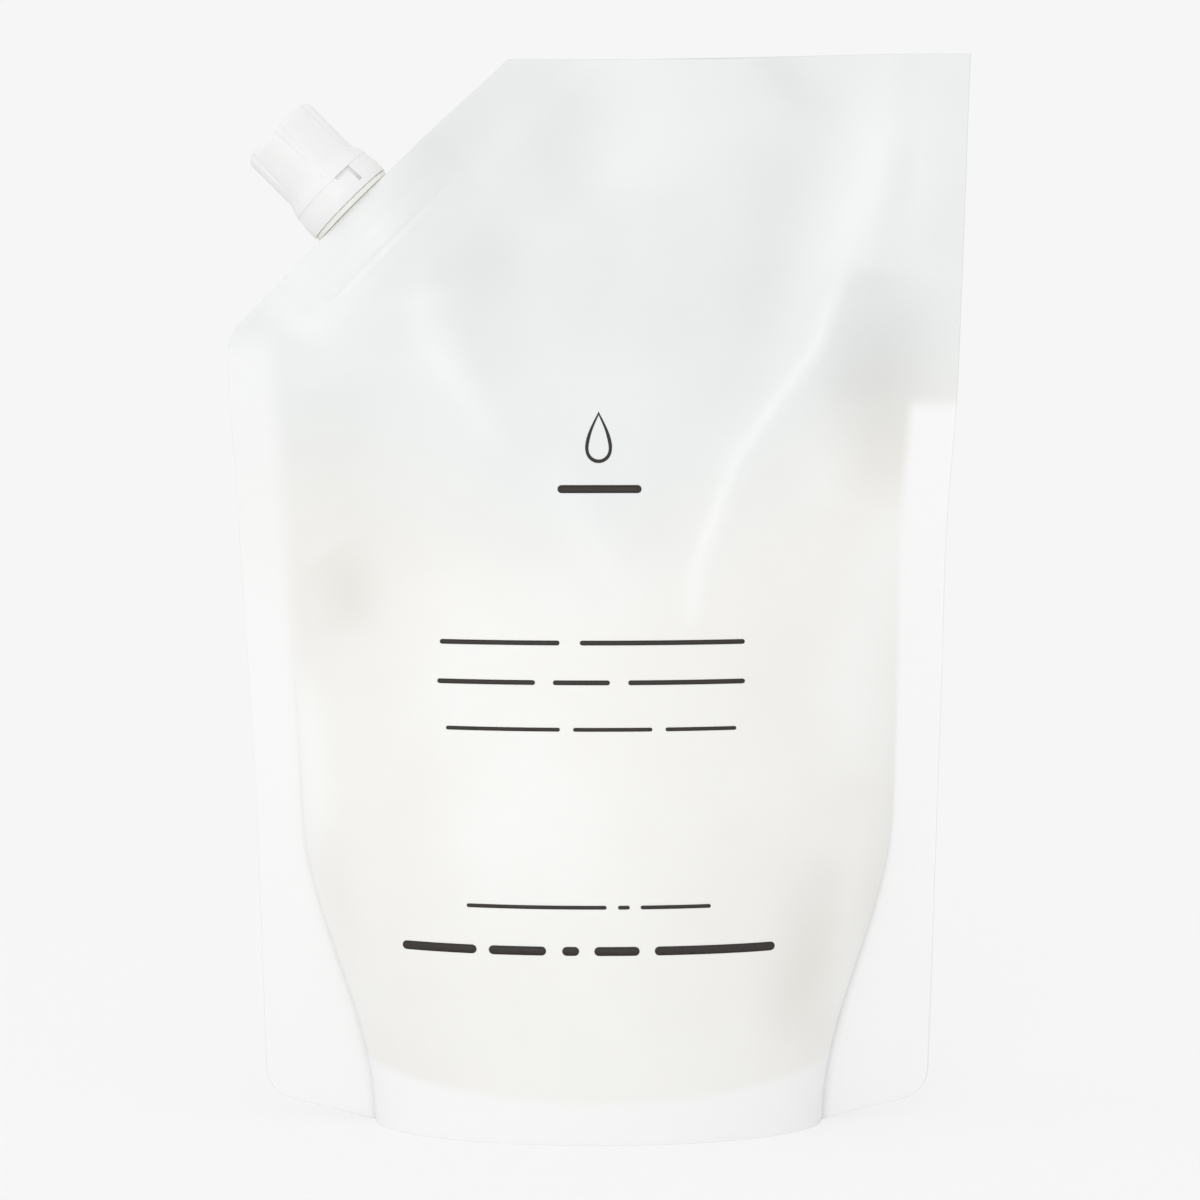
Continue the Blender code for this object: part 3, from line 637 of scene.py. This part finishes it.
def frosted_film():
    """Frosted polyester and polyethylene laminate, heat sealed. It is matt, shows the cream of the soap
    through its lower part, and goes cool and grey where the pouch is empty. Painted shade darkens it in its
    hollows and painted light brightens it on its ridges, following the tone attribute."""
    material, shader = new_material("frosted_laminate_film", {"Roughness": 0.46, "IOR": 1.5})
    place = add_node(material, "ShaderNodeTexCoord")
    soap, weld, tone = (
        add_node(material, "ShaderNodeAttribute", {"attribute_name": name})
        for name in ("soap", "weld", "tone")
    )
    cloud = add_node(
        material,
        "ShaderNodeTexNoise",
        {"Scale": 1 / (34 * MM), "Detail": 3.0},
        [("Vector", place, "Object")],
    )
    spread = add_node(
        material,
        "ShaderNodeMapRange",
        {"From Min": 0.3, "From Max": 0.7, "To Min": -0.08, "To Max": 0.08},
        [("Value", cloud, "Fac")],
    )
    # Painted light and shade from the tone attribute, plus a random mottle that is the film's own.
    painted_light_and_mottle = add_node(
        material,
        "ShaderNodeMath",
        {"operation": "ADD", "use_clamp": True},
        [(0, tone, "Fac"), (1, spread, "Result")],
    )
    # Painted shade: a darker copy of the film's colour, cool over empty film and warm over the soap.
    painted_shade_colour = add_node(
        material,
        "ShaderNodeMix",
        {"data_type": "RGBA", 6: linear("#DBDDDC"), 7: linear("#E2DED6")},
        [(0, soap, "Fac")],
    )
    # Painted light: a lighter copy of the film's colour, for its ridges.
    ridge = add_node(
        material,
        "ShaderNodeMix",
        {"data_type": "RGBA", 6: linear("#F2F5F4"), 7: linear("#FAFAF8")},
        [(0, soap, "Fac")],
    )
    # The film's colour, between its painted-shade and painted-light copies.
    body = add_node(
        material,
        "ShaderNodeMix",
        {"data_type": "RGBA"},
        [(0, painted_light_and_mottle, 0), (6, painted_shade_colour, 2), (7, ridge, 2)],
    )
    sealed = add_node(
        material,
        "ShaderNodeMix",
        {"data_type": "RGBA", 7: linear("#FAFAFA")},
        [(0, weld, "Fac"), (6, body, 2)],
    )
    link(material, sealed, 2, shader, "Base Color")
    grain = add_node(
        material,
        "ShaderNodeTexNoise",
        {"Scale": 1 / (0.9 * MM), "Detail": 2.0},
        [("Vector", place, "Object")],
    )
    bump = add_node(
        material,
        "ShaderNodeBump",
        {"Strength": 0.15, "Distance": 0.03 * MM},
        [("Height", grain, "Fac")],
    )
    link(material, bump, "Normal", shader, "Normal")
    return material


def moulded_plastic(name, colour, roughness, waviness):
    """Injection-moulded white plastic: satin, with the slight unevenness of a moulded skin."""
    material, shader = new_material(name, {"IOR": 1.49})
    place = add_node(material, "ShaderNodeTexCoord")
    flow = add_node(
        material,
        "ShaderNodeTexNoise",
        {"Scale": 1 / (7 * MM), "Detail": 2.0},
        [("Vector", place, "Object")],
    )
    tone = add_node(
        material,
        "ShaderNodeMix",
        {"data_type": "RGBA", 6: linear(colour[0]), 7: linear(colour[1])},
        [(0, flow, "Fac")],
    )
    link(material, tone, 2, shader, "Base Color")
    gloss = add_node(
        material,
        "ShaderNodeMapRange",
        {"To Min": roughness - 0.04, "To Max": roughness + 0.06},
        [("Value", flow, "Fac")],
    )
    link(material, gloss, "Result", shader, "Roughness")
    grain = add_node(
        material,
        "ShaderNodeTexNoise",
        {"Scale": 1 / (0.5 * MM), "Detail": 2.0},
        [("Vector", place, "Object")],
    )
    bump = add_node(
        material,
        "ShaderNodeBump",
        {"Strength": waviness, "Distance": 0.02 * MM},
        [("Height", grain, "Fac")],
    )
    link(material, bump, "Normal", shader, "Normal")
    return material


def gravure_ink():
    """Dark brown gravure ink on the film: matt, with a slightly mottled cover."""
    material, shader = new_material("gravure_ink", {"Roughness": 0.55, "IOR": 1.5})
    place = add_node(material, "ShaderNodeTexCoord")
    mottle = add_node(
        material,
        "ShaderNodeTexNoise",
        {"Scale": 1 / (0.8 * MM), "Detail": 3.0},
        [("Vector", place, "Object")],
    )
    tone = add_node(
        material,
        "ShaderNodeMix",
        {"data_type": "RGBA", 6: linear("#241F1C"), 7: linear("#312A26")},
        [(0, mottle, "Fac")],
    )
    link(material, tone, 2, shader, "Base Color")
    return material


def store(mesh, name, values):
    """Keeps a share for each point of the mesh, for its material to read."""
    attribute = mesh.attributes.new(name, "FLOAT", "POINT")
    attribute.data.foreach_set("value", np.asarray(values, np.float32))


def tint_film(mesh):
    """Stores where the film has soap behind it, where it is welded, and where painted light or painted
    shade makes it lighter or darker.
    """
    points = read_points(mesh)
    x, y, z = points[:, 0], points[:, 1], points[:, 2]
    left, right = belly_ends(z)
    places, levels = zip(*SOAP_LEVEL)
    level = np.interp(x / POUCH_WIDTH, places, levels) * POUCH_HEIGHT
    store(mesh, "soap", smooth((level - z) / SOAP_BLEND + 0.5))
    left_weld = smooth((left - x) / (6 * MM) + 0.5) * smooth((LEFT_WELD_TOP - z) / (11 * MM) + 0.5)
    left_weld = left_weld * (1 - 0.35 * smooth((z - FAINT_WELD_FROM) / (30 * MM)))
    from_patch = np.hypot(x - SPOUT_PATCH_X, z - SPOUT_PATCH_Z)
    under_spout = 0.6 * np.exp(-((from_patch / SPOUT_PATCH_RADIUS) ** 2))
    right_weld = smooth((x - right) / (3 * MM) + 0.5) * smooth((RIGHT_WELD_TOP - z) / (4 * MM) + 0.5)
    skirt = smooth((seal_rise(x) - z) / (2.2 * MM) + 0.5)
    store(mesh, "weld", np.max((left_weld, under_spout, right_weld, skirt), axis=0))
    # Painted light and shade of the folds, as a share between the film's shaded and lit colour copies.
    tone = np.where(y < film_lean(x, z), folds(x, z, "front")[1], folds(x, z, "back")[1])
    store(mesh, "tone", np.clip(PAINTED_LIGHT_BASE + tone, 0, 1))


def turned_mesh(name, profile, closed=False, steps=TURN_STEPS):
    """Spins a (radius, level) profile about the spout's axis."""
    bm = bmesh.new()
    verts = [bm.verts.new((radius, 0, level)) for radius, level in profile]
    edges = [bm.edges.new(pair) for pair in zip(verts, verts[1:])]
    if closed:
        edges.append(bm.edges.new((verts[-1], verts[0])))
    bmesh.ops.spin(
        bm,
        geom=verts + edges,
        cent=(0, 0, 0),
        axis=(0, 0, 1),
        angle=2 * math.pi,
        steps=steps,
        use_merge=True,
    )
    return finish_mesh(bm, name)


def thread_mesh(name, root, crest, first_level, turns, steps_per_turn=72):
    """A trapezoid section spun up the axis as a thread, with a crest that fades in at both ends."""
    rooted = root - math.copysign(0.4 * MM, crest - root)
    section = ((rooted, -0.5), (crest, -0.25), (crest, 0.25), (rooted, 0.5))
    bm = bmesh.new()
    verts = [bm.verts.new((r, 0, first_level + up * THREAD_WIDTH)) for r, up in section]
    face = bm.faces.new(verts)
    steps = round(turns * steps_per_turn)
    bmesh.ops.spin(
        bm,
        geom=[face] + list(face.edges) + verts,
        cent=(0, 0, 0),
        axis=(0, 0, 1),
        dvec=(0, 0, THREAD_LEAD / steps_per_turn),
        angle=2 * math.pi * turns,
        steps=steps,
    )
    low = (rooted + root) / 2
    for vert in bm.verts:
        radius = math.hypot(vert.co.x, vert.co.y)
        turned = (vert.co.z - first_level) / THREAD_LEAD
        full = float(smooth(5 * turned) * smooth(5 * (turns - turned)))
        if abs(radius - crest) < abs(radius - rooted):
            scale = (low + (crest - low) * full) / radius
            vert.co.x *= scale
            vert.co.y *= scale
    bmesh.ops.recalc_face_normals(bm, faces=bm.faces)
    mesh = bpy.data.meshes.new(name)
    bm.to_mesh(mesh)
    bm.free()
    return mesh


def neck_profile():
    bead = NECK_RADIUS + BEAD_WIDTH
    collar = NECK_RADIUS + COLLAR_WIDTH
    stem = NECK_RADIUS - SEAT_GAP
    soft = 0.25 * MM
    return (
        (BORE_RADIUS, NECK_TOP - soft),
        (BORE_RADIUS + soft, NECK_TOP),
        (NECK_RADIUS - soft, NECK_TOP),
        (NECK_RADIUS, NECK_TOP - soft),
        (NECK_RADIUS, BEAD_LEVEL + BEAD_FLAT / 2 + BEAD_WIDTH),
        (bead, BEAD_LEVEL + BEAD_FLAT / 2),
        (bead, BEAD_LEVEL - BEAD_FLAT / 2),
        (NECK_RADIUS, BEAD_LEVEL - BEAD_FLAT),
        (NECK_RADIUS, COLLAR_TOP + soft),
        (NECK_RADIUS + soft, COLLAR_TOP),
        (collar - soft, COLLAR_TOP),
        (collar, COLLAR_TOP - soft),
        (collar, COLLAR_FOOT + soft / 2),
        (collar - soft / 2, COLLAR_FOOT),
        (stem, COLLAR_FOOT),
        (stem, -BOAT_HEIGHT / 2),
        (BORE_RADIUS, -BOAT_HEIGHT / 2),
    )


def spout_mesh():
    """Ribbed weld base with the collar, the bead, the threaded neck and the bore."""
    pitch = BOAT_HEIGHT / (BOAT_RIBS + 0.5)
    sections = []
    for rib in range(BOAT_RIBS):
        for share, grow in ((0, 0), (0.5, 0), (0.6, -RIB_DEPTH), (0.9, -RIB_DEPTH)):
            sections.append((-BOAT_HEIGHT + (rib + share) * pitch, grow))
    sections += [(-0.5 * pitch, 0), (0, 0)]
    boat = boat_mesh("spout", sections)
    neck = turned_mesh("neck", neck_profile(), closed=True, steps=144)
    crest = NECK_RADIUS + THREAD_HEIGHT
    thread = thread_mesh("neck_thread", NECK_RADIUS, crest, THREAD_LEVEL, NECK_THREAD_TURNS)
    bore_top, bore_end = NECK_TOP + MM, -BOAT_HEIGHT - MM
    bore = turned_mesh(
        "bore",
        ((0, bore_top), (BORE_RADIUS, bore_top), (BORE_RADIUS, bore_end), (0, bore_end)),
        steps=144,
    )
    body = cut_with(boat, bore)
    body = cut_with(body, neck, "UNION")
    body = cut_with(body, thread, "UNION")
    body.transform(spout_matrix())
    return body


def cap_profile():
    """The crown, grip and flared foot outside, then the thread bore, ceiling and plug inside."""
    soft = 0.03 * MM
    points = [(0, CROWN), (GRIP_RADIUS * 0.5, CROWN)]
    for i in range(9):
        angle = math.pi / 2 * i / 8
        out = GRIP_RADIUS - CAP_EDGE_ROUND * (1 - math.sin(angle))
        points.append((out, CROWN - CAP_EDGE_ROUND * (1 - math.cos(angle))))
    grip_top, grip_foot = CROWN - CAP_EDGE_ROUND, CAP_FOOT + FLARE_HEIGHT
    for i in range(1, 13):
        points.append((GRIP_RADIUS, grip_top + (grip_foot - grip_top) * i / 12))
    flare = FOOT_RADIUS - GRIP_RADIUS
    for i in range(1, 9):
        level = grip_foot - (FLARE_HEIGHT - soft) * i / 8
        points.append((GRIP_RADIUS + flare * float(smooth(i / 8)), level))
    return points + [
        (FOOT_RADIUS - soft, CAP_FOOT),
        (FOOT_RADIUS - BAND_WALL, CAP_FOOT),
        (CAP_BORE, grip_foot),
        (CAP_BORE, CAP_CEILING),
        (PLUG_RADIUS, CAP_CEILING),
        (PLUG_RADIUS, CAP_CEILING - PLUG_LENGTH + soft),
        (PLUG_RADIUS - soft, CAP_CEILING - PLUG_LENGTH),
        (PLUG_RADIUS - PLUG_WALL, CAP_CEILING - PLUG_LENGTH),
        (PLUG_RADIUS - PLUG_WALL, CAP_CEILING),
        (0, CAP_CEILING),
    ]


def flute_radius(angle, level):
    """How near the axis the flutes cut the cap's grip at an angle and a level."""
    pitch = 2 * math.pi / FLUTES
    off = (angle - FLUTE_ANGLE + pitch / 2) % pitch - pitch / 2
    shallow = FLUTE_DEPTH * (CROWN - level) / (CROWN - CAP_FOOT - FLARE_HEIGHT)
    centre = GRIP_RADIUS + FLUTE_RADIUS - FLUTE_DEPTH + shallow
    room = FLUTE_RADIUS**2 - (centre * math.sin(off)) ** 2
    if room <= 0 or abs(off) > pitch / 4:
        return 1
    return centre * math.cos(off) - math.sqrt(room)


def cap_mesh():
    """The cap with six flutes that fade out above the flare, and fine ribs on the lands between them."""
    mesh = turned_mesh("cap", cap_profile())
    points = read_points(mesh)
    rib_low, rib_high = CAP_FOOT + FLARE_HEIGHT * 1.05, CROWN - CAP_EDGE_ROUND * 0.9
    for point in points:
        radius = math.hypot(point[0], point[1])
        if radius < CAP_BORE + 0.6 * MM or point[2] < CAP_FOOT + 0.4 * FLARE_HEIGHT:
            continue
        angle = math.atan2(point[0], -point[1])
        rib = GRIP_RIB_DEPTH * (0.5 - 0.5 * math.cos(GRIP_RIBS * angle))
        run = float(smooth((point[2] - rib_low) / MM) * smooth((rib_high - point[2]) / (0.6 * MM)))
        wanted = min(radius - rib * run, flute_radius(angle, point[2]))
        point[:2] *= wanted / radius
    mesh.vertices.foreach_set("co", points.ravel())
    crest, level = CAP_BORE - THREAD_HEIGHT, THREAD_LEVEL + THREAD_LEAD / 2
    thread = thread_mesh("cap_thread", CAP_BORE, crest, level, CAP_THREAD_TURNS)
    mesh = cut_with(mesh, thread, "UNION")
    mesh.transform(spout_matrix())
    return mesh


def band_mesh():
    """The flared tamper band with the hook under the neck's bead, and an L-shaped slit cut most of the
    way through its wall."""
    inner = FOOT_RADIUS - BAND_WALL
    hook = NECK_RADIUS + 0.35 * MM
    hook_top = BEAD_LEVEL - BEAD_FLAT - SEAT_GAP
    soft = 0.03 * MM
    swell = BAND_RADIUS - FOOT_RADIUS
    profile = [(FOOT_RADIUS - soft, BAND_TOP), (FOOT_RADIUS, BAND_TOP - soft)]
    swell_height = 0.6 * (BAND_TOP - BAND_RIM)
    for i in range(1, 7):
        level = BAND_TOP - soft - swell_height * i / 6
        profile.append((FOOT_RADIUS + swell * float(smooth(i / 6)), level))
    profile += [
        (BAND_RADIUS, BAND_RIM + 2 * soft),
        (BAND_RADIUS - 0.6 * soft, BAND_RIM + 0.6 * soft),
        (BAND_RADIUS - 2 * soft, BAND_RIM),
        (inner, BAND_RIM),
        (hook, hook_top - 0.6 * MM),
        (hook, hook_top),
        (inner, hook_top),
        (inner, BAND_TOP),
    ]
    mesh = turned_mesh("tamper_band", profile, closed=True)
    depth = BAND_TOP - BAND_RIM - SLIT_FLOOR
    legs = (
        (SLIT_WIDTH, depth, SLIT_ANGLE),
        (SLIT_LENGTH, SLIT_WIDTH - 0.2 * MM, SLIT_ANGLE - SLIT_LENGTH / 2 / FOOT_RADIUS),
    )
    for width, down, turn in legs:
        bm = bmesh.new()
        over = 0.3 * MM
        out = FOOT_RADIUS - SLIT_DEPTH + 1.5 * BAND_WALL
        middle = Matrix.Translation((0, -out, BAND_TOP + (over - down) / 2))
        size = Matrix.Diagonal((width, 3 * BAND_WALL, down + over, 1))
        bmesh.ops.create_cube(bm, size=1, matrix=Matrix.Rotation(turn, 4, "Z") @ middle @ size)
        mesh = cut_with(mesh, finish_mesh(bm, "slit"))
    mesh.transform(spout_matrix())
    return mesh


def ink_line(bm, level, thickness, start, end):
    """A flat line with round ends, as a strip of faces that can follow the film."""
    inside = max(round((end - start) / 1.2), 2)
    round_end = [0.5 * thickness * (1 - math.cos(math.pi * i / 8)) for i in range(5)]
    run = [start + 0.5 * thickness + (end - start - thickness) * i / inside for i in range(1, inside)]
    places = [start + r for r in round_end] + run + [end - r for r in reversed(round_end)]
    turn = Matrix.Rotation(math.pi / 2, 4, "X")
    across = len(places) - 1
    made = bmesh.ops.create_grid(bm, x_segments=across, y_segments=2, size=0.5, matrix=turn)["verts"]
    for vert in made:
        place = places[round((vert.co.x + 0.5) * across)]
        from_end = min(place - start, end - place, 0.5 * thickness) / (0.5 * thickness)
        half = 0.5 * thickness * math.sqrt(max(1 - (1 - from_end) ** 2, 0))
        vert.co = Vector((place * MM, 0, (level + 2 * vert.co.z * half) * MM))


def ink_drop(bm):
    """The outline of a drop, as a ring whose upper half is drawn out to a point."""
    steps = 48
    made = bmesh.ops.create_grid(bm, x_segments=steps, y_segments=1, size=0.5)["verts"]
    for vert in made:
        angle = 2 * math.pi * (vert.co.x + 0.5)
        wide = 0.36 * DROP_HEIGHT * math.sin(angle) * abs(math.sin(angle / 2)) ** 1.3
        centre = Vector((wide, 0, 0.5 * DROP_HEIGHT * math.cos(angle)))
        inward = Vector((wide, 0, centre.z + 0.12 * DROP_HEIGHT)).normalized()
        vert.co = centre - inward * (0.5 - vert.co.y) * DROP_LINE + Vector((0, 0, DROP_LEVEL))


def printed_marks(film):
    """Ink on the front film, in lines and a drop where the pack's print stands."""
    tree = BVHTree.FromObject(film, bpy.context.evaluated_depsgraph_get())
    bm = bmesh.new()
    for level, thickness, *lines in INK_ROWS:
        for start, end in lines:
            ink_line(bm, level, thickness, start, end)
    ink_drop(bm)
    bmesh.ops.remove_doubles(bm, verts=bm.verts, dist=JOIN)
    bmesh.ops.dissolve_degenerate(bm, edges=bm.edges, dist=JOIN)
    for vert in bm.verts:
        hit = tree.ray_cast(Vector((vert.co.x, -0.2, vert.co.z)), Vector((0, 1, 0)))[0]
        vert.co.y = hit.y - INK_PROUD
    bmesh.ops.recalc_face_normals(bm, faces=bm.faces)
    bmesh.ops.solidify(bm, geom=bm.faces, thickness=0.6 * INK_PROUD)
    return finish_mesh(bm, "printed_marks")


def dress_pouch():
    film_material = frosted_film()
    mesh = film_mesh()
    tint_film(mesh)
    film = new_piece("film_pouch", mesh, film_material, "pouch", ["pouch"])
    marks = new_piece("printed_marks", printed_marks(film), gravure_ink(), "pouch", [])
    return film, marks


def dress_spout():
    natural = moulded_plastic("moulded_natural_polyethylene", ("#EFEDE8", "#F3F1EC"), 0.4, 0.1)
    white = moulded_plastic("moulded_white_polypropylene", ("#F2F3F2", "#F5F6F5"), 0.36, 0.1)
    band_white = moulded_plastic("moulded_white_polyethylene", ("#F2F3F2", "#F5F5F4"), 0.4, 0.1)
    pieces = (
        new_piece("weld_spout", spout_mesh(), natural, "pouch", ["spout"]),
        new_piece("screw_cap", cap_mesh(), white, "cap", ["cap"]),
        new_piece("tamper_ring", band_mesh(), band_white, "tamper_band", ["tamper_band"]),
    )
    for piece in pieces:
        piece.data.set_sharp_from_angle(angle=math.radians(32))


# The photograph's viewpoint
CAMERA_PLACE = Vector((0.3 * MM, -750 * MM, 180 * MM))
CAMERA_TARGET = Vector((0.3 * MM, 0, 114.4 * MM))
LENS = 104.1

# Light: the surround, one large lamp in front and a weaker one at the left
SURROUND_LIGHT = 0.89
KEY_PLACE = (-0.3, -1.56, 0.38)
KEY_POWER = 3.4
SIDE_PLACE = (-1.5, -0.15, 0.7)
SIDE_POWER = 1.2


def place_camera():
    camera = bpy.data.cameras.new("camera")
    camera.lens = LENS
    camera.sensor_width = 36
    camera.clip_start = 0.01
    camera.clip_end = 20
    holder = bpy.data.objects.new("camera", camera)
    bpy.context.scene.collection.objects.link(holder)
    holder.location = CAMERA_PLACE
    holder.rotation_euler = (CAMERA_TARGET - CAMERA_PLACE).to_track_quat("-Z", "Y").to_euler()
    bpy.context.scene.camera = holder


def add_lamp(name, place, target, size, power, colour="#FFFFFF"):
    light = bpy.data.lights.new(name, "AREA")
    light.shape = "DISK"
    light.size = size
    light.energy = power
    light.color = linear(colour)[:3]
    holder = bpy.data.objects.new(name, light)
    bpy.context.scene.collection.objects.link(holder)
    holder.location = place
    holder.rotation_euler = (Vector(target) - Vector(place)).to_track_quat("-Z", "Y").to_euler()


def pale_floor():
    """Matt white board. The camera sees the background's own colour on it, with the object's soft
    shadow, and further off nothing but that colour."""
    material, shader = new_material("matt_white_board", {"Roughness": 0.9, "Base Color": linear("#EDEDED")})
    shader.inputs["Specular IOR Level"].default_value = 0.1
    dull = add_node(material, "ShaderNodeBsdfDiffuse", {"Color": linear("#B4B4B4")})
    fill = add_node(material, "ShaderNodeEmission", {"Color": (1, 1, 1, 1), "Strength": 0.503})
    seen = add_node(material, "ShaderNodeAddShader", {}, [(0, dull, 0), (1, fill, 0)])
    place = add_node(material, "ShaderNodeTexCoord")
    away = add_node(material, "ShaderNodeVectorMath", {"operation": "LENGTH"}, [(0, place, "Object")])
    fade = add_node(
        material,
        "ShaderNodeMapRange",
        {"interpolation_type": "SMOOTHSTEP", "From Min": 0.12, "From Max": 0.5},
        [("Value", away, "Value")],
    )
    far = add_node(material, "ShaderNodeEmission", {"Color": linear("#F6F6F6"), "Strength": 1.0})
    faded = add_node(material, "ShaderNodeMixShader", {}, [(0, fade, 0), (1, seen, 0), (2, far, 0)])
    rays = add_node(material, "ShaderNodeLightPath")
    seen_or_lit = [(0, rays, "Is Camera Ray"), (1, shader, 0), (2, faded, 0)]
    both = add_node(material, "ShaderNodeMixShader", {}, seen_or_lit)
    link(material, both, 0, material.node_tree.nodes["Material Output"], "Surface")
    return material


def set_stage():
    """A pale floor that runs out into the background's own colour, a white surround and a soft lamp."""
    scene = bpy.context.scene
    scene.view_settings.view_transform = "Standard"
    world = bpy.data.worlds.new("pale_surround")
    world.use_nodes = True
    scene.world = world
    lit = world.node_tree.nodes["Background"]
    lit.inputs["Color"].default_value = (1, 1, 1, 1)
    lit.inputs["Strength"].default_value = SURROUND_LIGHT
    seen = add_node(world, "ShaderNodeBackground", {"Color": linear("#F6F6F6"), "Strength": 1.0})
    rays = add_node(world, "ShaderNodeLightPath")
    either = add_node(
        world,
        "ShaderNodeMath",
        {"operation": "MAXIMUM"},
        [(0, rays, "Is Camera Ray"), (1, rays, "Is Transmission Ray")],
    )
    mixed = add_node(world, "ShaderNodeMixShader", {}, [(0, either, 0), (1, lit, 0), (2, seen, 0)])
    link(world, mixed, 0, world.node_tree.nodes["World Output"], "Surface")
    bm = bmesh.new()
    bmesh.ops.create_circle(bm, cap_ends=True, segments=64, radius=6)
    floor_mesh = bpy.data.meshes.new("floor")
    bm.to_mesh(floor_mesh)
    bm.free()
    floor_mesh.materials.append(pale_floor())
    floor = bpy.data.objects.new("floor", floor_mesh)
    scene.collection.objects.link(floor)
    add_lamp("key", KEY_PLACE, (0, 0, 110 * MM), 0.8, KEY_POWER)
    add_lamp("side", SIDE_PLACE, (0, 0, 150 * MM), 0.8, SIDE_POWER)


place_camera()
set_stage()
dress_pouch()
dress_spout()
